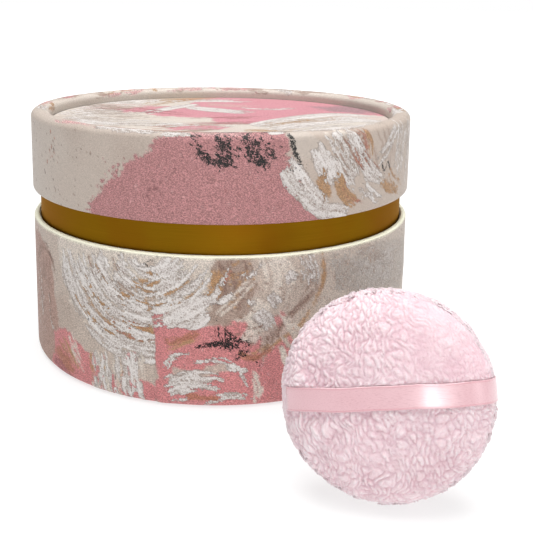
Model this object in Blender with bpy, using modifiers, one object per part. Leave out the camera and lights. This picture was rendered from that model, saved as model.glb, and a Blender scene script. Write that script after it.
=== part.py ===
"""Round powder box with a lift-off lid, a gold neck, a sifter tub and a plush powder puff.

Metres, +Z up. The origin is the centre of the flush underside of the box. The puff stands on its
edge in front of the box, leaning back a little.
"""

import math

import bmesh
import bpy

MM = 0.001

# Driving dimensions of the box
LID_RADIUS = 63.0 * MM
BOX_HEIGHT = 78.9 * MM
BASE_RADIUS = 62.9 * MM
BASE_HEIGHT = 44.7 * MM
BASE_ROUNDING = 2.2 * MM
BASE_TURN_UNDER = 4.4 * MM
LID_SKIRT_Z = 53.7 * MM
RIM_HALF_WIDTH = 3.0 * MM
RIM_ROUNDING = 2.2 * MM
LID_RECESS = 3.7 * MM
NECK_RADIUS = 60.7 * MM

# Layers and clearances
PAPER = 0.35 * MM
LINING = 0.3 * MM
LID_CARD = 1.0 * MM
BASE_CARD = 1.3 * MM
NECK_CARD = 1.3 * MM
BOARD = 1.6 * MM
GLUE_GAP = 0.2 * MM
GAP = 0.3 * MM

# Powder tub and sifter
CUP_WALL = 1.0 * MM
CUP_LEDGE = 2.0 * MM
SIFTER_Z = 46.0 * MM
SIFTER_THICKNESS = 1.2 * MM
SIFTER_HOLE_RADIUS = 1.5 * MM
SIFTER_HOLE_PITCH = 8.0 * MM
SIFTER_RINGS = 3

# Puff
PUFF_RADIUS = 24.7 * MM
PUFF_FRONT = 11.0 * MM
PUFF_BACK = 10.0 * MM
PUFF_FULLNESS = 2.5
PLUSH = 2.2 * MM
PUFF_PLACE = (44.3 * MM, -101.4 * MM)
PUFF_LEAN = math.radians(18.0)
PUFF_TURN = math.radians(-9.0)
THREAD_RADIUS = 0.25 * MM
RIBBON_WIDTH = 5.7 * MM
RIBBON_THICKNESS = 0.4 * MM
RIBBON_TILT = math.radians(7.0)

SEGMENTS = 48
PUFF_SEGMENTS = 32
ARC_STEPS = 8
CORNER_STEPS = 3
PUFF_ARC_STEPS = 8
WELD_DISTANCE = 0.00001

# Heights worked out from the driving dimensions
FLOOR_BOARD_Z = PAPER + GLUE_GAP
NECK_FOOT_Z = FLOOR_BOARD_Z + BOARD + GAP
LID_PAPER_TOP = BOX_HEIGHT - LID_RECESS
LID_PAPER_Z = LID_PAPER_TOP - PAPER
LID_BOARD_Z = LID_PAPER_Z - GAP - BOARD
LID_LINING_Z = LID_BOARD_Z - GAP - LINING
CUP_TOP_Z = LID_LINING_Z - GAP
NECK_TOP_Z = CUP_TOP_Z - CUP_WALL - GAP

# Radii worked out from the driving dimensions
LID_TUBE_OUTER = LID_RADIUS - PAPER - GLUE_GAP
LID_TUBE_INNER = LID_TUBE_OUTER - LID_CARD
LID_LINING_OUTER = LID_TUBE_INNER - GLUE_GAP
BASE_TUBE_OUTER = BASE_RADIUS - PAPER - GLUE_GAP
BASE_TUBE_INNER = BASE_TUBE_OUTER - BASE_CARD
NECK_FOIL_INNER = NECK_RADIUS - LINING
NECK_TUBE_OUTER = NECK_FOIL_INNER - GLUE_GAP
NECK_TUBE_INNER = NECK_TUBE_OUTER - NECK_CARD
CUP_OUTER = NECK_TUBE_INNER - GAP
CUP_INNER = CUP_OUTER - CUP_WALL
RIM_CENTRE = LID_RADIUS - RIM_HALF_WIDTH
RIM_ARC_Z = BOX_HEIGHT - RIM_ROUNDING
LAYER = PAPER + GLUE_GAP

# Half of the groove between the puff's two halves, which holds the seam's thread
SEAM = THREAD_RADIUS + GAP


def clear_scene():
    for item in list(bpy.data.objects):
        bpy.data.objects.remove(item, do_unlink=True)
    for group in list(bpy.data.collections):
        bpy.data.collections.remove(group)


def make_collection(name):
    group = bpy.data.collections.new(name)
    bpy.context.scene.collection.children.link(group)
    return group


def make_material(name, color, roughness, metallic=0.0):
    material = bpy.data.materials.new(name)
    material.use_nodes = True
    shader = material.node_tree.nodes["Principled BSDF"]
    shader.inputs["Base Color"].default_value = (*color, 1.0)
    shader.inputs["Roughness"].default_value = roughness
    shader.inputs["Metallic"].default_value = metallic
    return material


def move_to(item, group):
    for other in list(item.users_collection):
        other.objects.unlink(item)
    group.objects.link(item)


def finish_piece(item, group, material, parent=None):
    move_to(item, group)
    item.data.materials.append(material)
    item.data.shade_smooth()
    item.data.set_sharp_from_angle(angle=math.radians(35.0))
    item.parent = parent
    return item


def arc(centre_r, centre_z, radius_r, radius_z, start, end, steps=ARC_STEPS, fullness=2.0):
    """Points along an arc in the (r, z) half plane, angles from +r towards +z.

    A fullness of 2 is an ellipse, and a larger one swells towards the box round it.
    """
    power = 2.0 / fullness
    points = []
    for step in range(steps + 1):
        angle = start + (end - start) * step / steps
        cosine = math.cos(angle)
        sine = math.sin(angle)
        r = math.copysign(abs(cosine) ** power, cosine) * radius_r
        z = math.copysign(abs(sine) ** power, sine) * radius_z
        points.append((centre_r + r, centre_z + z))
    return points


def turned(name, profile, closed, group, material, parent=None, segments=SEGMENTS):
    """Turns a profile of (r, z) points about Z. It runs from top to bottom on its outer side."""
    mesh = bpy.data.meshes.new(name)
    edges = [(index, index + 1) for index in range(len(profile) - 1)]
    if closed:
        edges.append((len(profile) - 1, 0))
    mesh.from_pydata([(r, 0.0, z) for r, z in profile], edges, [])
    item = bpy.data.objects.new(name, mesh)
    group.objects.link(item)
    screw = item.modifiers.new("turn", "SCREW")
    screw.steps = segments
    screw.render_steps = segments
    screw.use_merge_vertices = True
    screw.merge_threshold = WELD_DISTANCE
    return finish_piece(item, group, material, parent)


def ring(name, outer, inner, bottom, top, group, material, parent=None):
    profile = [(outer, top), (outer, bottom), (inner, bottom), (inner, top)]
    return turned(name, profile, True, group, material, parent)


def disc(name, radius, bottom, top, group, material, parent=None):
    bpy.ops.mesh.primitive_cylinder_add(
        vertices=SEGMENTS, radius=radius, depth=top - bottom, location=(0.0, 0.0, (top + bottom) / 2)
    )
    item = bpy.context.object
    item.name = name
    return finish_piece(item, group, material, parent)


def make_axis(name, location, group, rotation=(0.0, 0.0, 0.0)):
    axis = bpy.data.objects.new(name, None)
    axis.location = location
    axis.rotation_euler = rotation
    axis.empty_display_size = 10 * MM
    group.objects.link(axis)
    return axis


def build_base(group, card, print_paper, plain_paper, gold):
    quarter = math.pi / 2
    rounding_r = BASE_RADIUS - BASE_ROUNDING
    fold_inner = BASE_RADIUS - BASE_TURN_UNDER
    wrap = [(BASE_TUBE_INNER, BASE_HEIGHT), (BASE_RADIUS - PAPER, BASE_HEIGHT)]
    wrap += [(BASE_RADIUS, BASE_HEIGHT - PAPER)]
    wrap += arc(rounding_r, BASE_ROUNDING, BASE_ROUNDING, BASE_ROUNDING, 0.0, -quarter, CORNER_STEPS)
    wrap += [(fold_inner, 0.0), (fold_inner, PAPER)]
    inner_rounding = BASE_ROUNDING - PAPER
    wrap += arc(rounding_r, BASE_ROUNDING, inner_rounding, inner_rounding, -quarter, 0.0, CORNER_STEPS)
    wrap += [(BASE_RADIUS - PAPER, BASE_HEIGHT - PAPER), (BASE_TUBE_INNER, BASE_HEIGHT - PAPER)]
    turned("base_wrap", wrap, True, group, print_paper)
    tube_bottom = BASE_ROUNDING + GLUE_GAP
    ring("base_tube", BASE_TUBE_OUTER, BASE_TUBE_INNER, tube_bottom, BASE_HEIGHT - LAYER, group, card)
    disc("base_underside_paper", fold_inner - GAP, 0.0, PAPER, group, plain_paper)
    disc("base_floor_board", BASE_TUBE_INNER - GAP, FLOOR_BOARD_Z, FLOOR_BOARD_Z + BOARD, group, card)
    disc("base_floor_lining", NECK_TUBE_INNER - GAP, NECK_FOOT_Z, NECK_FOOT_Z + LINING, group, plain_paper)
    ring("neck_tube", NECK_TUBE_OUTER, NECK_TUBE_INNER, NECK_FOOT_Z, NECK_TOP_Z, group, card)
    ring("neck_foil", NECK_RADIUS, NECK_FOIL_INNER, NECK_FOOT_Z, NECK_TOP_Z, group, gold)


def build_cup(group, plastic):
    """Tub with a flange on the neck's top edge and a ledge for the sifter."""
    floor = NECK_FOOT_Z + LINING + GAP
    ledge = SIFTER_Z - GAP
    profile = [
        (0.0, floor + CUP_WALL),
        (CUP_INNER - CUP_LEDGE, floor + CUP_WALL),
        (CUP_INNER - CUP_LEDGE, ledge),
        (CUP_INNER, ledge),
        (CUP_INNER, CUP_TOP_Z),
        (NECK_RADIUS, CUP_TOP_Z),
        (NECK_RADIUS, CUP_TOP_Z - CUP_WALL),
        (CUP_OUTER, CUP_TOP_Z - CUP_WALL),
        (CUP_OUTER, ledge - CUP_WALL),
        (CUP_OUTER - CUP_LEDGE, ledge - CUP_WALL),
        (CUP_OUTER - CUP_LEDGE, floor),
        (0.0, floor),
    ]
    turned("powder_cup", profile, False, group, plastic)


def hole_places():
    """Centres of the sifter's holes: one in the middle and six more in each ring outwards."""
    places = [(0.0, 0.0)]
    for number in range(1, SIFTER_RINGS + 1):
        count = 6 * number
        for index in range(count):
            angle = math.tau * index / count
            radius = SIFTER_HOLE_PITCH * number
            places.append((radius * math.cos(angle), radius * math.sin(angle)))
    return places


def build_sifter(group, cutters, plastic):
    plate = disc("sifter_plate", CUP_INNER - GAP, SIFTER_Z, SIFTER_Z + SIFTER_THICKNESS, group, plastic)
    cutter_mesh = bpy.data.meshes.new("sifter_holes")
    shape = bmesh.new()
    for x, y in hole_places():
        made = bmesh.ops.create_cone(
            shape,
            cap_ends=True,
            segments=8,
            radius1=SIFTER_HOLE_RADIUS,
            radius2=SIFTER_HOLE_RADIUS,
            depth=4 * SIFTER_THICKNESS,
        )
        bmesh.ops.translate(shape, verts=made["verts"], vec=(x, y, SIFTER_Z + SIFTER_THICKNESS / 2))
    shape.to_mesh(cutter_mesh)
    shape.free()
    cutter = bpy.data.objects.new("sifter_holes", cutter_mesh)
    cutters.objects.link(cutter)
    cutter.hide_render = True
    cutter.display_type = "WIRE"
    cut = plate.modifiers.new("holes", "BOOLEAN")
    cut.operation = "DIFFERENCE"
    cut.solver = "EXACT"
    cut.object = cutter


def build_lid(group, axis, card, print_paper):
    card_half = RIM_HALF_WIDTH - LAYER
    tube = arc(RIM_CENTRE, RIM_ARC_Z, card_half, RIM_ROUNDING - LAYER, math.pi, 0.0)
    tube += [
        (LID_TUBE_OUTER, LID_SKIRT_Z + LAYER),
        (LID_TUBE_INNER, LID_SKIRT_Z + LAYER),
        (LID_TUBE_INNER, LID_PAPER_Z),
        (RIM_CENTRE - card_half, LID_PAPER_Z),
    ]
    turned("lid_tube", tube, True, group, card, axis)
    wrap = arc(RIM_CENTRE, RIM_ARC_Z, RIM_HALF_WIDTH, RIM_ROUNDING, math.pi, 0.0)
    wrap += [
        (LID_RADIUS, LID_SKIRT_Z),
        (LID_TUBE_INNER, LID_SKIRT_Z),
        (LID_TUBE_INNER, LID_SKIRT_Z + PAPER),
        (LID_RADIUS - PAPER, LID_SKIRT_Z + PAPER),
    ]
    wrap += arc(RIM_CENTRE, RIM_ARC_Z, RIM_HALF_WIDTH - PAPER, RIM_ROUNDING - PAPER, 0.0, math.pi)
    wrap += [
        (RIM_CENTRE - RIM_HALF_WIDTH + PAPER, LID_PAPER_Z),
        (RIM_CENTRE - RIM_HALF_WIDTH, LID_PAPER_Z),
    ]
    turned("lid_wrap", wrap, True, group, print_paper, axis)
    top_radius = RIM_CENTRE - RIM_HALF_WIDTH - GAP
    disc("lid_top_paper", top_radius, LID_PAPER_Z, LID_PAPER_TOP, group, print_paper, axis)
    disc("lid_top_board", LID_TUBE_INNER - GAP, LID_BOARD_Z, LID_BOARD_Z + BOARD, group, card, axis)


def build_lid_lining(group, axis, plain_paper):
    ring(
        "lid_lining_ring",
        LID_LINING_OUTER,
        LID_LINING_OUTER - LINING,
        LID_SKIRT_Z + PAPER + GAP,
        LID_LINING_Z - GAP,
        group,
        plain_paper,
        axis,
    )
    disc("lid_lining_disc", LID_LINING_OUTER, LID_LINING_Z, LID_LINING_Z + LINING, group, plain_paper, axis)


def puff_support():
    """Height of the puff's centre when its leaning, rounded edge just touches the table."""
    dual = PUFF_FULLNESS / (PUFF_FULLNESS - 1.0)
    across = (PUFF_RADIUS * math.cos(PUFF_LEAN)) ** dual
    along = ((PUFF_BACK - SEAM) * math.sin(PUFF_LEAN)) ** dual
    return (across + along) ** (1.0 / dual) + SEAM * math.sin(PUFF_LEAN)


def bowl_arc(radius, depth, start, end):
    return arc(0.0, SEAM, radius, depth - SEAM, start, end, PUFF_ARC_STEPS, PUFF_FULLNESS)


def plush_half(name, depth, group, material, axis, flip):
    """One open bowl of plush; the front bowl faces local +Z and the back bowl local -Z."""
    quarter = math.pi / 2
    outer = bowl_arc(PUFF_RADIUS, depth, quarter, 0.0)
    inner = bowl_arc(PUFF_RADIUS - PLUSH, depth - PLUSH, 0.0, quarter)
    profile = outer + inner
    profile[0] = (0.0, depth)
    profile[-1] = (0.0, depth - PLUSH)
    item = turned(name, profile, False, group, material, axis, PUFF_SEGMENTS)
    if flip:
        item.rotation_euler = (math.pi, 0.0, 0.0)
    return item


def ribbon_line():
    """Middle line of the strap in the local XZ plane, just outside the front plush."""
    offset = GAP + RIBBON_THICKNESS / 2
    steps = 4 * PUFF_ARC_STEPS
    return arc(0.0, 0.0, PUFF_RADIUS + offset, PUFF_FRONT + offset, math.pi, 0.0, steps, PUFF_FULLNESS)


def build_ribbon(group, axis, satin):
    line = ribbon_line()
    half = RIBBON_WIDTH / 2
    points = [(x, side * half, z) for x, z in line for side in (-1, 1)]
    faces = [(2 * k, 2 * k + 1, 2 * k + 3, 2 * k + 2) for k in range(len(line) - 1)]
    mesh = bpy.data.meshes.new("puff_ribbon")
    mesh.from_pydata(points, [], faces)
    item = bpy.data.objects.new("puff_ribbon", mesh)
    group.objects.link(item)
    item.rotation_euler = (0.0, 0.0, RIBBON_TILT)
    thick = item.modifiers.new("thickness", "SOLIDIFY")
    thick.thickness = RIBBON_THICKNESS
    thick.offset = 0.0
    finish_piece(item, group, satin, axis)


def build_puff(group, axis, plush, stuffing, satin, thread):
    plush_half("puff_front_plush", PUFF_FRONT, group, plush, axis, False)
    plush_half("puff_back_plush", PUFF_BACK, group, plush, axis, True)
    core = PUFF_RADIUS - PLUSH - GAP
    top = PUFF_FRONT - PLUSH - GAP
    bottom = PUFF_BACK - PLUSH - GAP
    quarter = math.pi / 2
    profile = arc(0.0, 0.0, core, top, quarter, 0.0, PUFF_ARC_STEPS, PUFF_FULLNESS)
    profile += arc(0.0, 0.0, core, bottom, 0.0, -quarter, PUFF_ARC_STEPS, PUFF_FULLNESS)[1:]
    profile[0] = (0.0, top)
    profile[-1] = (0.0, -bottom)
    turned("puff_filling", profile, False, group, stuffing, axis, PUFF_SEGMENTS)
    build_ribbon(group, axis, satin)
    seam_line = PUFF_RADIUS - PLUSH / 2
    bpy.ops.mesh.primitive_torus_add(
        major_radius=seam_line, minor_radius=THREAD_RADIUS, major_segments=PUFF_SEGMENTS, minor_segments=6
    )
    item = bpy.context.object
    item.name = "puff_seam_thread"
    finish_piece(item, group, thread, axis)


def main():
    clear_scene()
    group = make_collection("powder_jar")
    cutters = make_collection("cutters")

    card = make_material("grey_card", (0.62, 0.56, 0.47), 0.85)
    print_paper = make_material("floral_paper", (0.78, 0.62, 0.58), 0.7)
    plain_paper = make_material("cream_paper", (0.86, 0.81, 0.72), 0.75)
    gold = make_material("gold_foil", (0.62, 0.42, 0.12), 0.35, 0.9)
    plastic = make_material("white_plastic", (0.9, 0.9, 0.88), 0.4)
    plush = make_material("pink_plush", (0.93, 0.74, 0.76), 0.95)
    stuffing = make_material("white_stuffing", (0.92, 0.9, 0.88), 0.95)
    satin = make_material("pink_satin", (0.93, 0.62, 0.65), 0.35)
    thread = make_material("pink_thread", (0.9, 0.7, 0.72), 0.7)

    build_base(group, card, print_paper, plain_paper, gold)
    build_cup(group, plastic)
    build_sifter(group, cutters, plastic)

    lift_axis = make_axis("lid_lift_axis", (0.0, 0.0, 0.0), group)
    turn_axis = make_axis("lid_turn_axis", (0.0, 0.0, 0.0), group)
    turn_axis.parent = lift_axis
    build_lid_lining(group, lift_axis, plain_paper)
    build_lid(group, turn_axis, card, print_paper)

    puff_axis = make_axis(
        "puff_lift_axis",
        (*PUFF_PLACE, puff_support()),
        group,
        (math.pi / 2 - PUFF_LEAN, 0.0, PUFF_TURN),
    )
    build_puff(group, puff_axis, plush, stuffing, satin, thread)


main()
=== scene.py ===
"""Looks for the powder jar: painted paper, gold neck, plush puff and satin strap.

Lengths inside the helpers are in millimetres, and MM turns them into metres. The printed paper is
painted by code: strokes, rings and dabs on a grid that is unrolled round the jar, then carried to
the mesh as colours, paint cover and real relief.
"""

import math

import bpy
import numpy as np
from mathutils import Matrix, Vector


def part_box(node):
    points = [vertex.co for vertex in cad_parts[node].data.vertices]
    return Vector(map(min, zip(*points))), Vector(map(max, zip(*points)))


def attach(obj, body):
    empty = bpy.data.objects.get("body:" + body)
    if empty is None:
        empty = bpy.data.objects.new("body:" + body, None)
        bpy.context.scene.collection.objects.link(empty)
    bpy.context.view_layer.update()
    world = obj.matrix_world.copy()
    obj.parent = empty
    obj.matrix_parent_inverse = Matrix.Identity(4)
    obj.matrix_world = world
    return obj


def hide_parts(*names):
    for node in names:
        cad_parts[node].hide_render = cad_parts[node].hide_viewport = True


MM = 0.001

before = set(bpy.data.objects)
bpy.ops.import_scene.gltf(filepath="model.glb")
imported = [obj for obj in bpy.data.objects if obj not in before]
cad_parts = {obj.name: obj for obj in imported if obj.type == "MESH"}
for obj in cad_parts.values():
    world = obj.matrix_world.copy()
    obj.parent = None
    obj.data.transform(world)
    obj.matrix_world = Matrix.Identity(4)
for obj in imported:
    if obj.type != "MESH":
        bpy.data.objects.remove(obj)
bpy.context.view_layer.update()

# the box and its print, in millimetres
LID_RADIUS = 63.0
SHOULDER = 76.7
RIM_CENTRE = 60.0
RIM_WIDE, RIM_HIGH = 3.0, 2.2
LID_EDGE = 53.7
TOP_RADIUS = 56.7
TOP_HEIGHT = 75.2
TOP_DEEPER = 0.12
BASE_RADIUS = 62.9
BASE_TOP = 44.7
LIP_START = 44.0
FOOT = 2.2
TURNED_UNDER = 4.4
SEAM = -15.6
NECK_INSIDE, NECK_OUTSIDE = 60.42, 60.7
PAINT_CELL = 0.18

# points round each turned piece, and along each side of the discs
LID_STEPS = 950
BASE_STEPS = 800
NECK_STEPS = 288
TOP_GRID = 310
PLUSH_GRID = 288
PLUSH_LOCKS = 4200


# ---------------------------------------------------------------- colours


def linear(red, green, blue):
    """A colour given on the 0 to 255 scale, as linear light."""
    shades = np.array([red, green, blue], float) / 255.0
    low = shades / 12.92
    high = ((shades + 0.055) / 1.055) ** 2.4
    return np.where(shades <= 0.04045, low, high)


def printed(red, green, blue):
    """A colour of the print, which is duller than fresh paint."""
    return linear(red, green, blue) * 0.7


GREIGE = printed(214, 200, 188)
BEIGE = printed(210, 193, 180)
CREAM = printed(232, 220, 208)
TAUPE = printed(178, 154, 140)
UMBER = printed(146, 116, 102)
OCHRE = printed(194, 152, 112)
RUST = printed(190, 126, 104)
ROSE = printed(204, 144, 144)
BASE_ROSE = printed(222, 144, 144)
DEEP_ROSE = printed(178, 110, 112)
BLUSH = printed(226, 176, 174)
TOP_PINK = printed(230, 156, 166)
MAUVE = printed(176, 140, 146)
WHITE = linear(240, 234, 230) * 0.87
INK = linear(13, 11, 11)


# ---------------------------------------------------------------- noise


def lattice(ix, iy, seed):
    """Repeatable random values from 0 to 1 for whole-number places."""
    a = np.asarray(ix).astype(np.uint32)
    b = np.asarray(iy).astype(np.uint32)
    start = np.uint32((seed * 2654435 + 97) % 2**32)
    mixed = a * np.uint32(374761393) + b * np.uint32(668265263) + start
    mixed = (mixed ^ (mixed >> np.uint32(13))) * np.uint32(1274126177)
    mixed = mixed ^ (mixed >> np.uint32(16))
    return (mixed & np.uint32(0xFFFFFF)).astype(np.float64) / 0xFFFFFF


def value_noise(x, y, seed, period=0):
    """Smooth noise from 0 to 1. It repeats after period cells in x, where that is given."""
    x0 = np.floor(x).astype(np.int64)
    y0 = np.floor(y).astype(np.int64)
    fx = x - x0
    fy = y - y0
    fx = fx * fx * (3 - 2 * fx)
    fy = fy * fy * (3 - 2 * fy)
    x1 = x0 + 1
    if period:
        x0 = x0 % period
        x1 = x1 % period
    low = lattice(x0, y0, seed) * (1 - fx) + lattice(x1, y0, seed) * fx
    high = lattice(x0, y0 + 1, seed) * (1 - fx) + lattice(x1, y0 + 1, seed) * fx
    return low * (1 - fy) + high * fy


def smoothstep(low, high, x):
    """0 below low, 1 above high, and a smooth climb between. It falls where low is above high."""
    t = np.clip((x - low) / (high - low), 0.0, 1.0)
    return t * t * (3 - 2 * t)


# ---------------------------------------------------------------- painting


class Paper:
    """A sheet of painted paper on a fine grid of (u, v) places in millimetres.

    round_length is set where u runs all the way round the jar, so that the paint meets itself.
    """

    def __init__(self, u_span, v_span, cell, ground, seed, round_length=0.0):
        self.u_low, self.u_high = u_span
        self.v_low, self.v_high = v_span
        self.cell = cell
        self.round_length = round_length
        self.u = np.arange(self.u_low + cell / 2, self.u_high, cell)
        self.v = np.arange(self.v_low + cell / 2, self.v_high, cell)
        shape = (len(self.u), len(self.v))
        self.color = np.ones((*shape, 3)) * ground
        self.white = np.zeros(shape)
        self.ink = np.zeros(shape)
        self.relief = np.zeros(shape)
        self.tone = np.full(shape, 0.5)
        self.random = np.random.RandomState(seed)

    def cloud(self, u, v, size_u, size_v, seed, octaves=3):
        """Soft noise from 0 to 1 whose largest blotches have these sizes."""
        total = np.zeros(np.broadcast(u, v).shape)
        weight = 0.0
        for octave in range(octaves):
            gain = 0.5**octave
            across = size_u * gain
            period = 0
            if self.round_length:
                period = max(1, int(round(self.round_length / across)))
                across = self.round_length / period
            total += gain * value_noise(u / across + 1000 * (not period), v / (size_v * gain) + 500,
                                        seed + 17 * octave, period)
            weight += gain
        return total / weight

    def windows(self, u0, u1, v0, v1):
        """Index ranges of a box of places, twice where it crosses the ends of a wrapped sheet."""
        shifts = [0.0]
        if self.round_length:
            shifts += [self.round_length, -self.round_length]
        for shift in shifts:
            i0 = max(0, int((u0 + shift - self.u_low) / self.cell))
            i1 = min(len(self.u), int((u1 + shift - self.u_low) / self.cell) + 2)
            j0 = max(0, int((v0 - self.v_low) / self.cell))
            j1 = min(len(self.v), int((v1 - self.v_low) / self.cell) + 2)
            if i0 < i1 and j0 < j1:
                yield slice(i0, i1), slice(j0, j1), shift

    def lay(self, si, sj, cover, pigment, height, tone=0.5):
        """Puts paint of one pigment on part of the sheet, over what is there."""
        if isinstance(pigment, str) and pigment == "white":
            self.white[si, sj] = np.maximum(self.white[si, sj], cover)
            self.tone[si, sj] = self.tone[si, sj] * (1 - cover) + tone * cover
        elif isinstance(pigment, str):
            self.ink[si, sj] = np.maximum(self.ink[si, sj], 0.9 * cover)
        else:
            part = cover[..., None]
            self.color[si, sj] = self.color[si, sj] * (1 - part) + pigment * part
            self.white[si, sj] *= 1 - 0.85 * cover
        self.relief[si, sj] = self.relief[si, sj] * (1 - cover) + height * cover

    def stroke(self, points, width, pigment, dry=0.5, height=0.6, opacity=1.0, point=0.45):
        """One brush stroke along points, with bristle lines that run along it."""
        line = smooth_line(points)
        seed = self.random.randint(1, 1000000)
        margin = width / 2 + 0.6
        u0, v0 = line.min(0) - margin
        u1, v1 = line.max(0) + margin
        steps = np.linalg.norm(np.diff(line, axis=0), axis=1)
        along_at = np.concatenate([[0.0], np.cumsum(steps)])
        total = max(along_at[-1], 0.01)
        shade = 0.6 + 0.4 * self.random.rand()
        for si, sj, shift in self.windows(u0, u1, v0, v1):
            gu, gv = np.meshgrid(self.u[si] - shift, self.v[sj], indexing="ij")
            best = np.full(gu.shape, 1e9)
            across = np.zeros(gu.shape)
            along = np.zeros(gu.shape)
            for k in range(len(line) - 1):
                du, dv = line[k + 1] - line[k]
                length = max(steps[k], 1e-6)
                t = np.clip(((gu - line[k, 0]) * du + (gv - line[k, 1]) * dv) / length**2, 0, 1)
                pu = gu - line[k, 0] - t * du
                pv = gv - line[k, 1] - t * dv
                distance = np.hypot(pu, pv)
                nearer = distance < best
                side = np.sign(du * pv - dv * pu)
                best = np.where(nearer, distance, best)
                across = np.where(nearer, side * distance, across)
                along = np.where(nearer, along_at[k] + t * length, along)
            place = along / total
            half = width / 2 * np.clip(np.minimum(place, 1 - place) / 0.22, 0, 1) ** point
            edge = value_noise(along / 0.9 + 40, across / 0.7 + 40, seed + 5) - 0.5
            cover = np.clip((half - best + 0.5 * edge) / 0.3 + 0.5, 0, 1)
            bristle = value_noise(across / 0.42 + 90, along / 5.0 + 90, seed)
            fleck = value_noise(across / 0.6 + 60, along / 0.9 + 60, seed + 9)
            worn = 0.6 * bristle + 0.4 * fleck + 0.3 * (place - 0.5)
            cover *= smoothstep(-0.04, 0.14, 1.05 - dry - worn)
            # the crown of each stroke gets the highest tone, its edges and worn bristle lines lower; low tone
            # makes white paint greyer, partly thinner paint and partly painted shade on the raised paint
            crown = np.sqrt(np.clip(1 - (best / np.maximum(half, 0.05)) ** 2, 0, 1))
            thick = crown * (1.1 - 0.6 * worn)
            tone = np.clip(shade * (0.35 + 0.75 * thick), 0, 1)
            self.lay(si, sj, cover * opacity, pigment, height * thick, tone)

    def patch(self, outline, pigment, ragged=1.2, opacity=1.0, soft=0.3, size=3.0):
        """A filled area with a ragged painted edge."""
        outline = np.array(outline, float)
        u0, v0 = outline.min(0) - ragged - 1
        u1, v1 = outline.max(0) + ragged + 1
        seed = self.random.randint(1, 1000000)
        for si, sj, shift in self.windows(u0, u1, v0, v1):
            gu, gv = np.meshgrid(self.u[si] - shift, self.v[sj], indexing="ij")
            gu = gu + ragged * 2 * (value_noise(gu / size + 300, gv / size + 300, seed) - 0.5)
            gv = gv + ragged * 2 * (value_noise(gu / size + 700, gv / size + 700, seed + 3) - 0.5)
            gu = gu + ragged * 0.9 * (value_noise(gu / 0.6 + 300, gv / 0.6 + 300, seed + 1) - 0.5)
            gv = gv + ragged * 0.9 * (value_noise(gu / 0.6 + 300, gv / 0.6 + 300, seed + 2) - 0.5)
            inside = np.zeros(gu.shape, bool)
            nearest = np.full(gu.shape, 1e9)
            for k in range(len(outline)):
                a = outline[k]
                b = outline[(k + 1) % len(outline)]
                du, dv = b - a
                if abs(dv) > 1e-9:
                    crosses = (gv >= min(a[1], b[1])) & (gv < max(a[1], b[1]))
                    inside ^= crosses & (gu < a[0] + (gv - a[1]) * du / dv)
                t = np.clip(((gu - a[0]) * du + (gv - a[1]) * dv) / (du * du + dv * dv), 0, 1)
                nearest = np.minimum(nearest, np.hypot(gu - a[0] - t * du, gv - a[1] - t * dv))
            depth = np.where(inside, nearest, -nearest)
            cover = np.clip(depth / soft + 0.5, 0, 1) * opacity
            self.lay(si, sj, cover, pigment, 0.0)

    def bundle(self, points, spread, count, width, pigment, dry=0.5, height=0.6, opacity=1.0, wander=0.5):
        """Several thinner strokes side by side along one path, like a wide dry brush."""
        points = np.array(points, float)
        for _ in range(count):
            offset = (self.random.rand() - 0.5) * spread
            direction = points[-1] - points[0]
            normal = np.array([-direction[1], direction[0]]) / max(np.hypot(*direction), 1e-6)
            start, end = sorted(self.random.rand(2))
            if end - start < 0.35:
                start, end = max(0.0, start - 0.25), min(1.0, end + 0.25)
            path = points_between(points, start, end, 5)
            jitter = (self.random.rand(len(path), 2) - 0.5) * wander
            path = path + normal * offset + jitter
            self.stroke(path, width * (0.6 + 0.8 * self.random.rand()), pigment, dry, height, opacity)

    def rings(self, centre, radii, angles, count, width, pigment, dry=0.45, height=0.7, squash=1.0):
        """Arcs about a centre, as the petals of a loosely painted rose."""
        for _ in range(count):
            radius = radii[0] + (radii[1] - radii[0]) * self.random.rand()
            sweep = math.radians(24 + 34 * self.random.rand())
            room = math.radians(angles[1] - angles[0]) - sweep
            first = math.radians(angles[0]) + room * self.random.rand()
            drift = (self.random.rand() - 0.5) * 2.4
            path = []
            for k in range(6):
                angle = first + sweep * k / 5
                reach = radius + drift * k / 5
                du, dv = reach * math.cos(angle), reach * math.sin(angle) * squash
                path.append((centre[0] + du, centre[1] + dv))
            self.stroke(path, width * (0.6 + 0.8 * self.random.rand()), pigment, dry, height)

    def ticks(self, centre, size, count, length, width, pigment, angle=0.0, turn=0.6, height=0.2):
        """Many short thin marks scattered about a place, as from a nearly dry brush."""
        for _ in range(count):
            a, b = self.random.randn(2) * 0.42
            lean = angle + (self.random.rand() - 0.5) * 2 * turn
            cu = centre[0] + a * size[0] * math.cos(angle) - b * size[1] * math.sin(angle)
            cv = centre[1] + a * size[0] * math.sin(angle) + b * size[1] * math.cos(angle)
            reach = length * (0.35 + 0.9 * self.random.rand()) / 2
            du = reach * math.cos(lean)
            dv = reach * math.sin(lean)
            self.stroke([(cu - du, cv - dv), (cu, cv + 0.15 * reach), (cu + du, cv + dv)],
                        width * (0.7 + 0.6 * self.random.rand()), pigment, 0.25, height, 1.0, 0.3)

    def dots(self, spot, size, count, radius, pigment, opacity=1.0):
        """Round flecks scattered over a box about a place."""
        for _ in range(count):
            cu = spot[0] + (self.random.rand() - 0.5) * size[0]
            cv = spot[1] + (self.random.rand() - 0.5) * size[1]
            r = radius * (0.4 + self.random.rand() ** 2)
            path = [(cu - 0.3 * r, cv), (cu, cv), (cu + 0.3 * r, cv + 0.2 * r)]
            self.stroke(path, 2 * r, pigment, 0.2, 0.1, opacity, 0.15)

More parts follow.
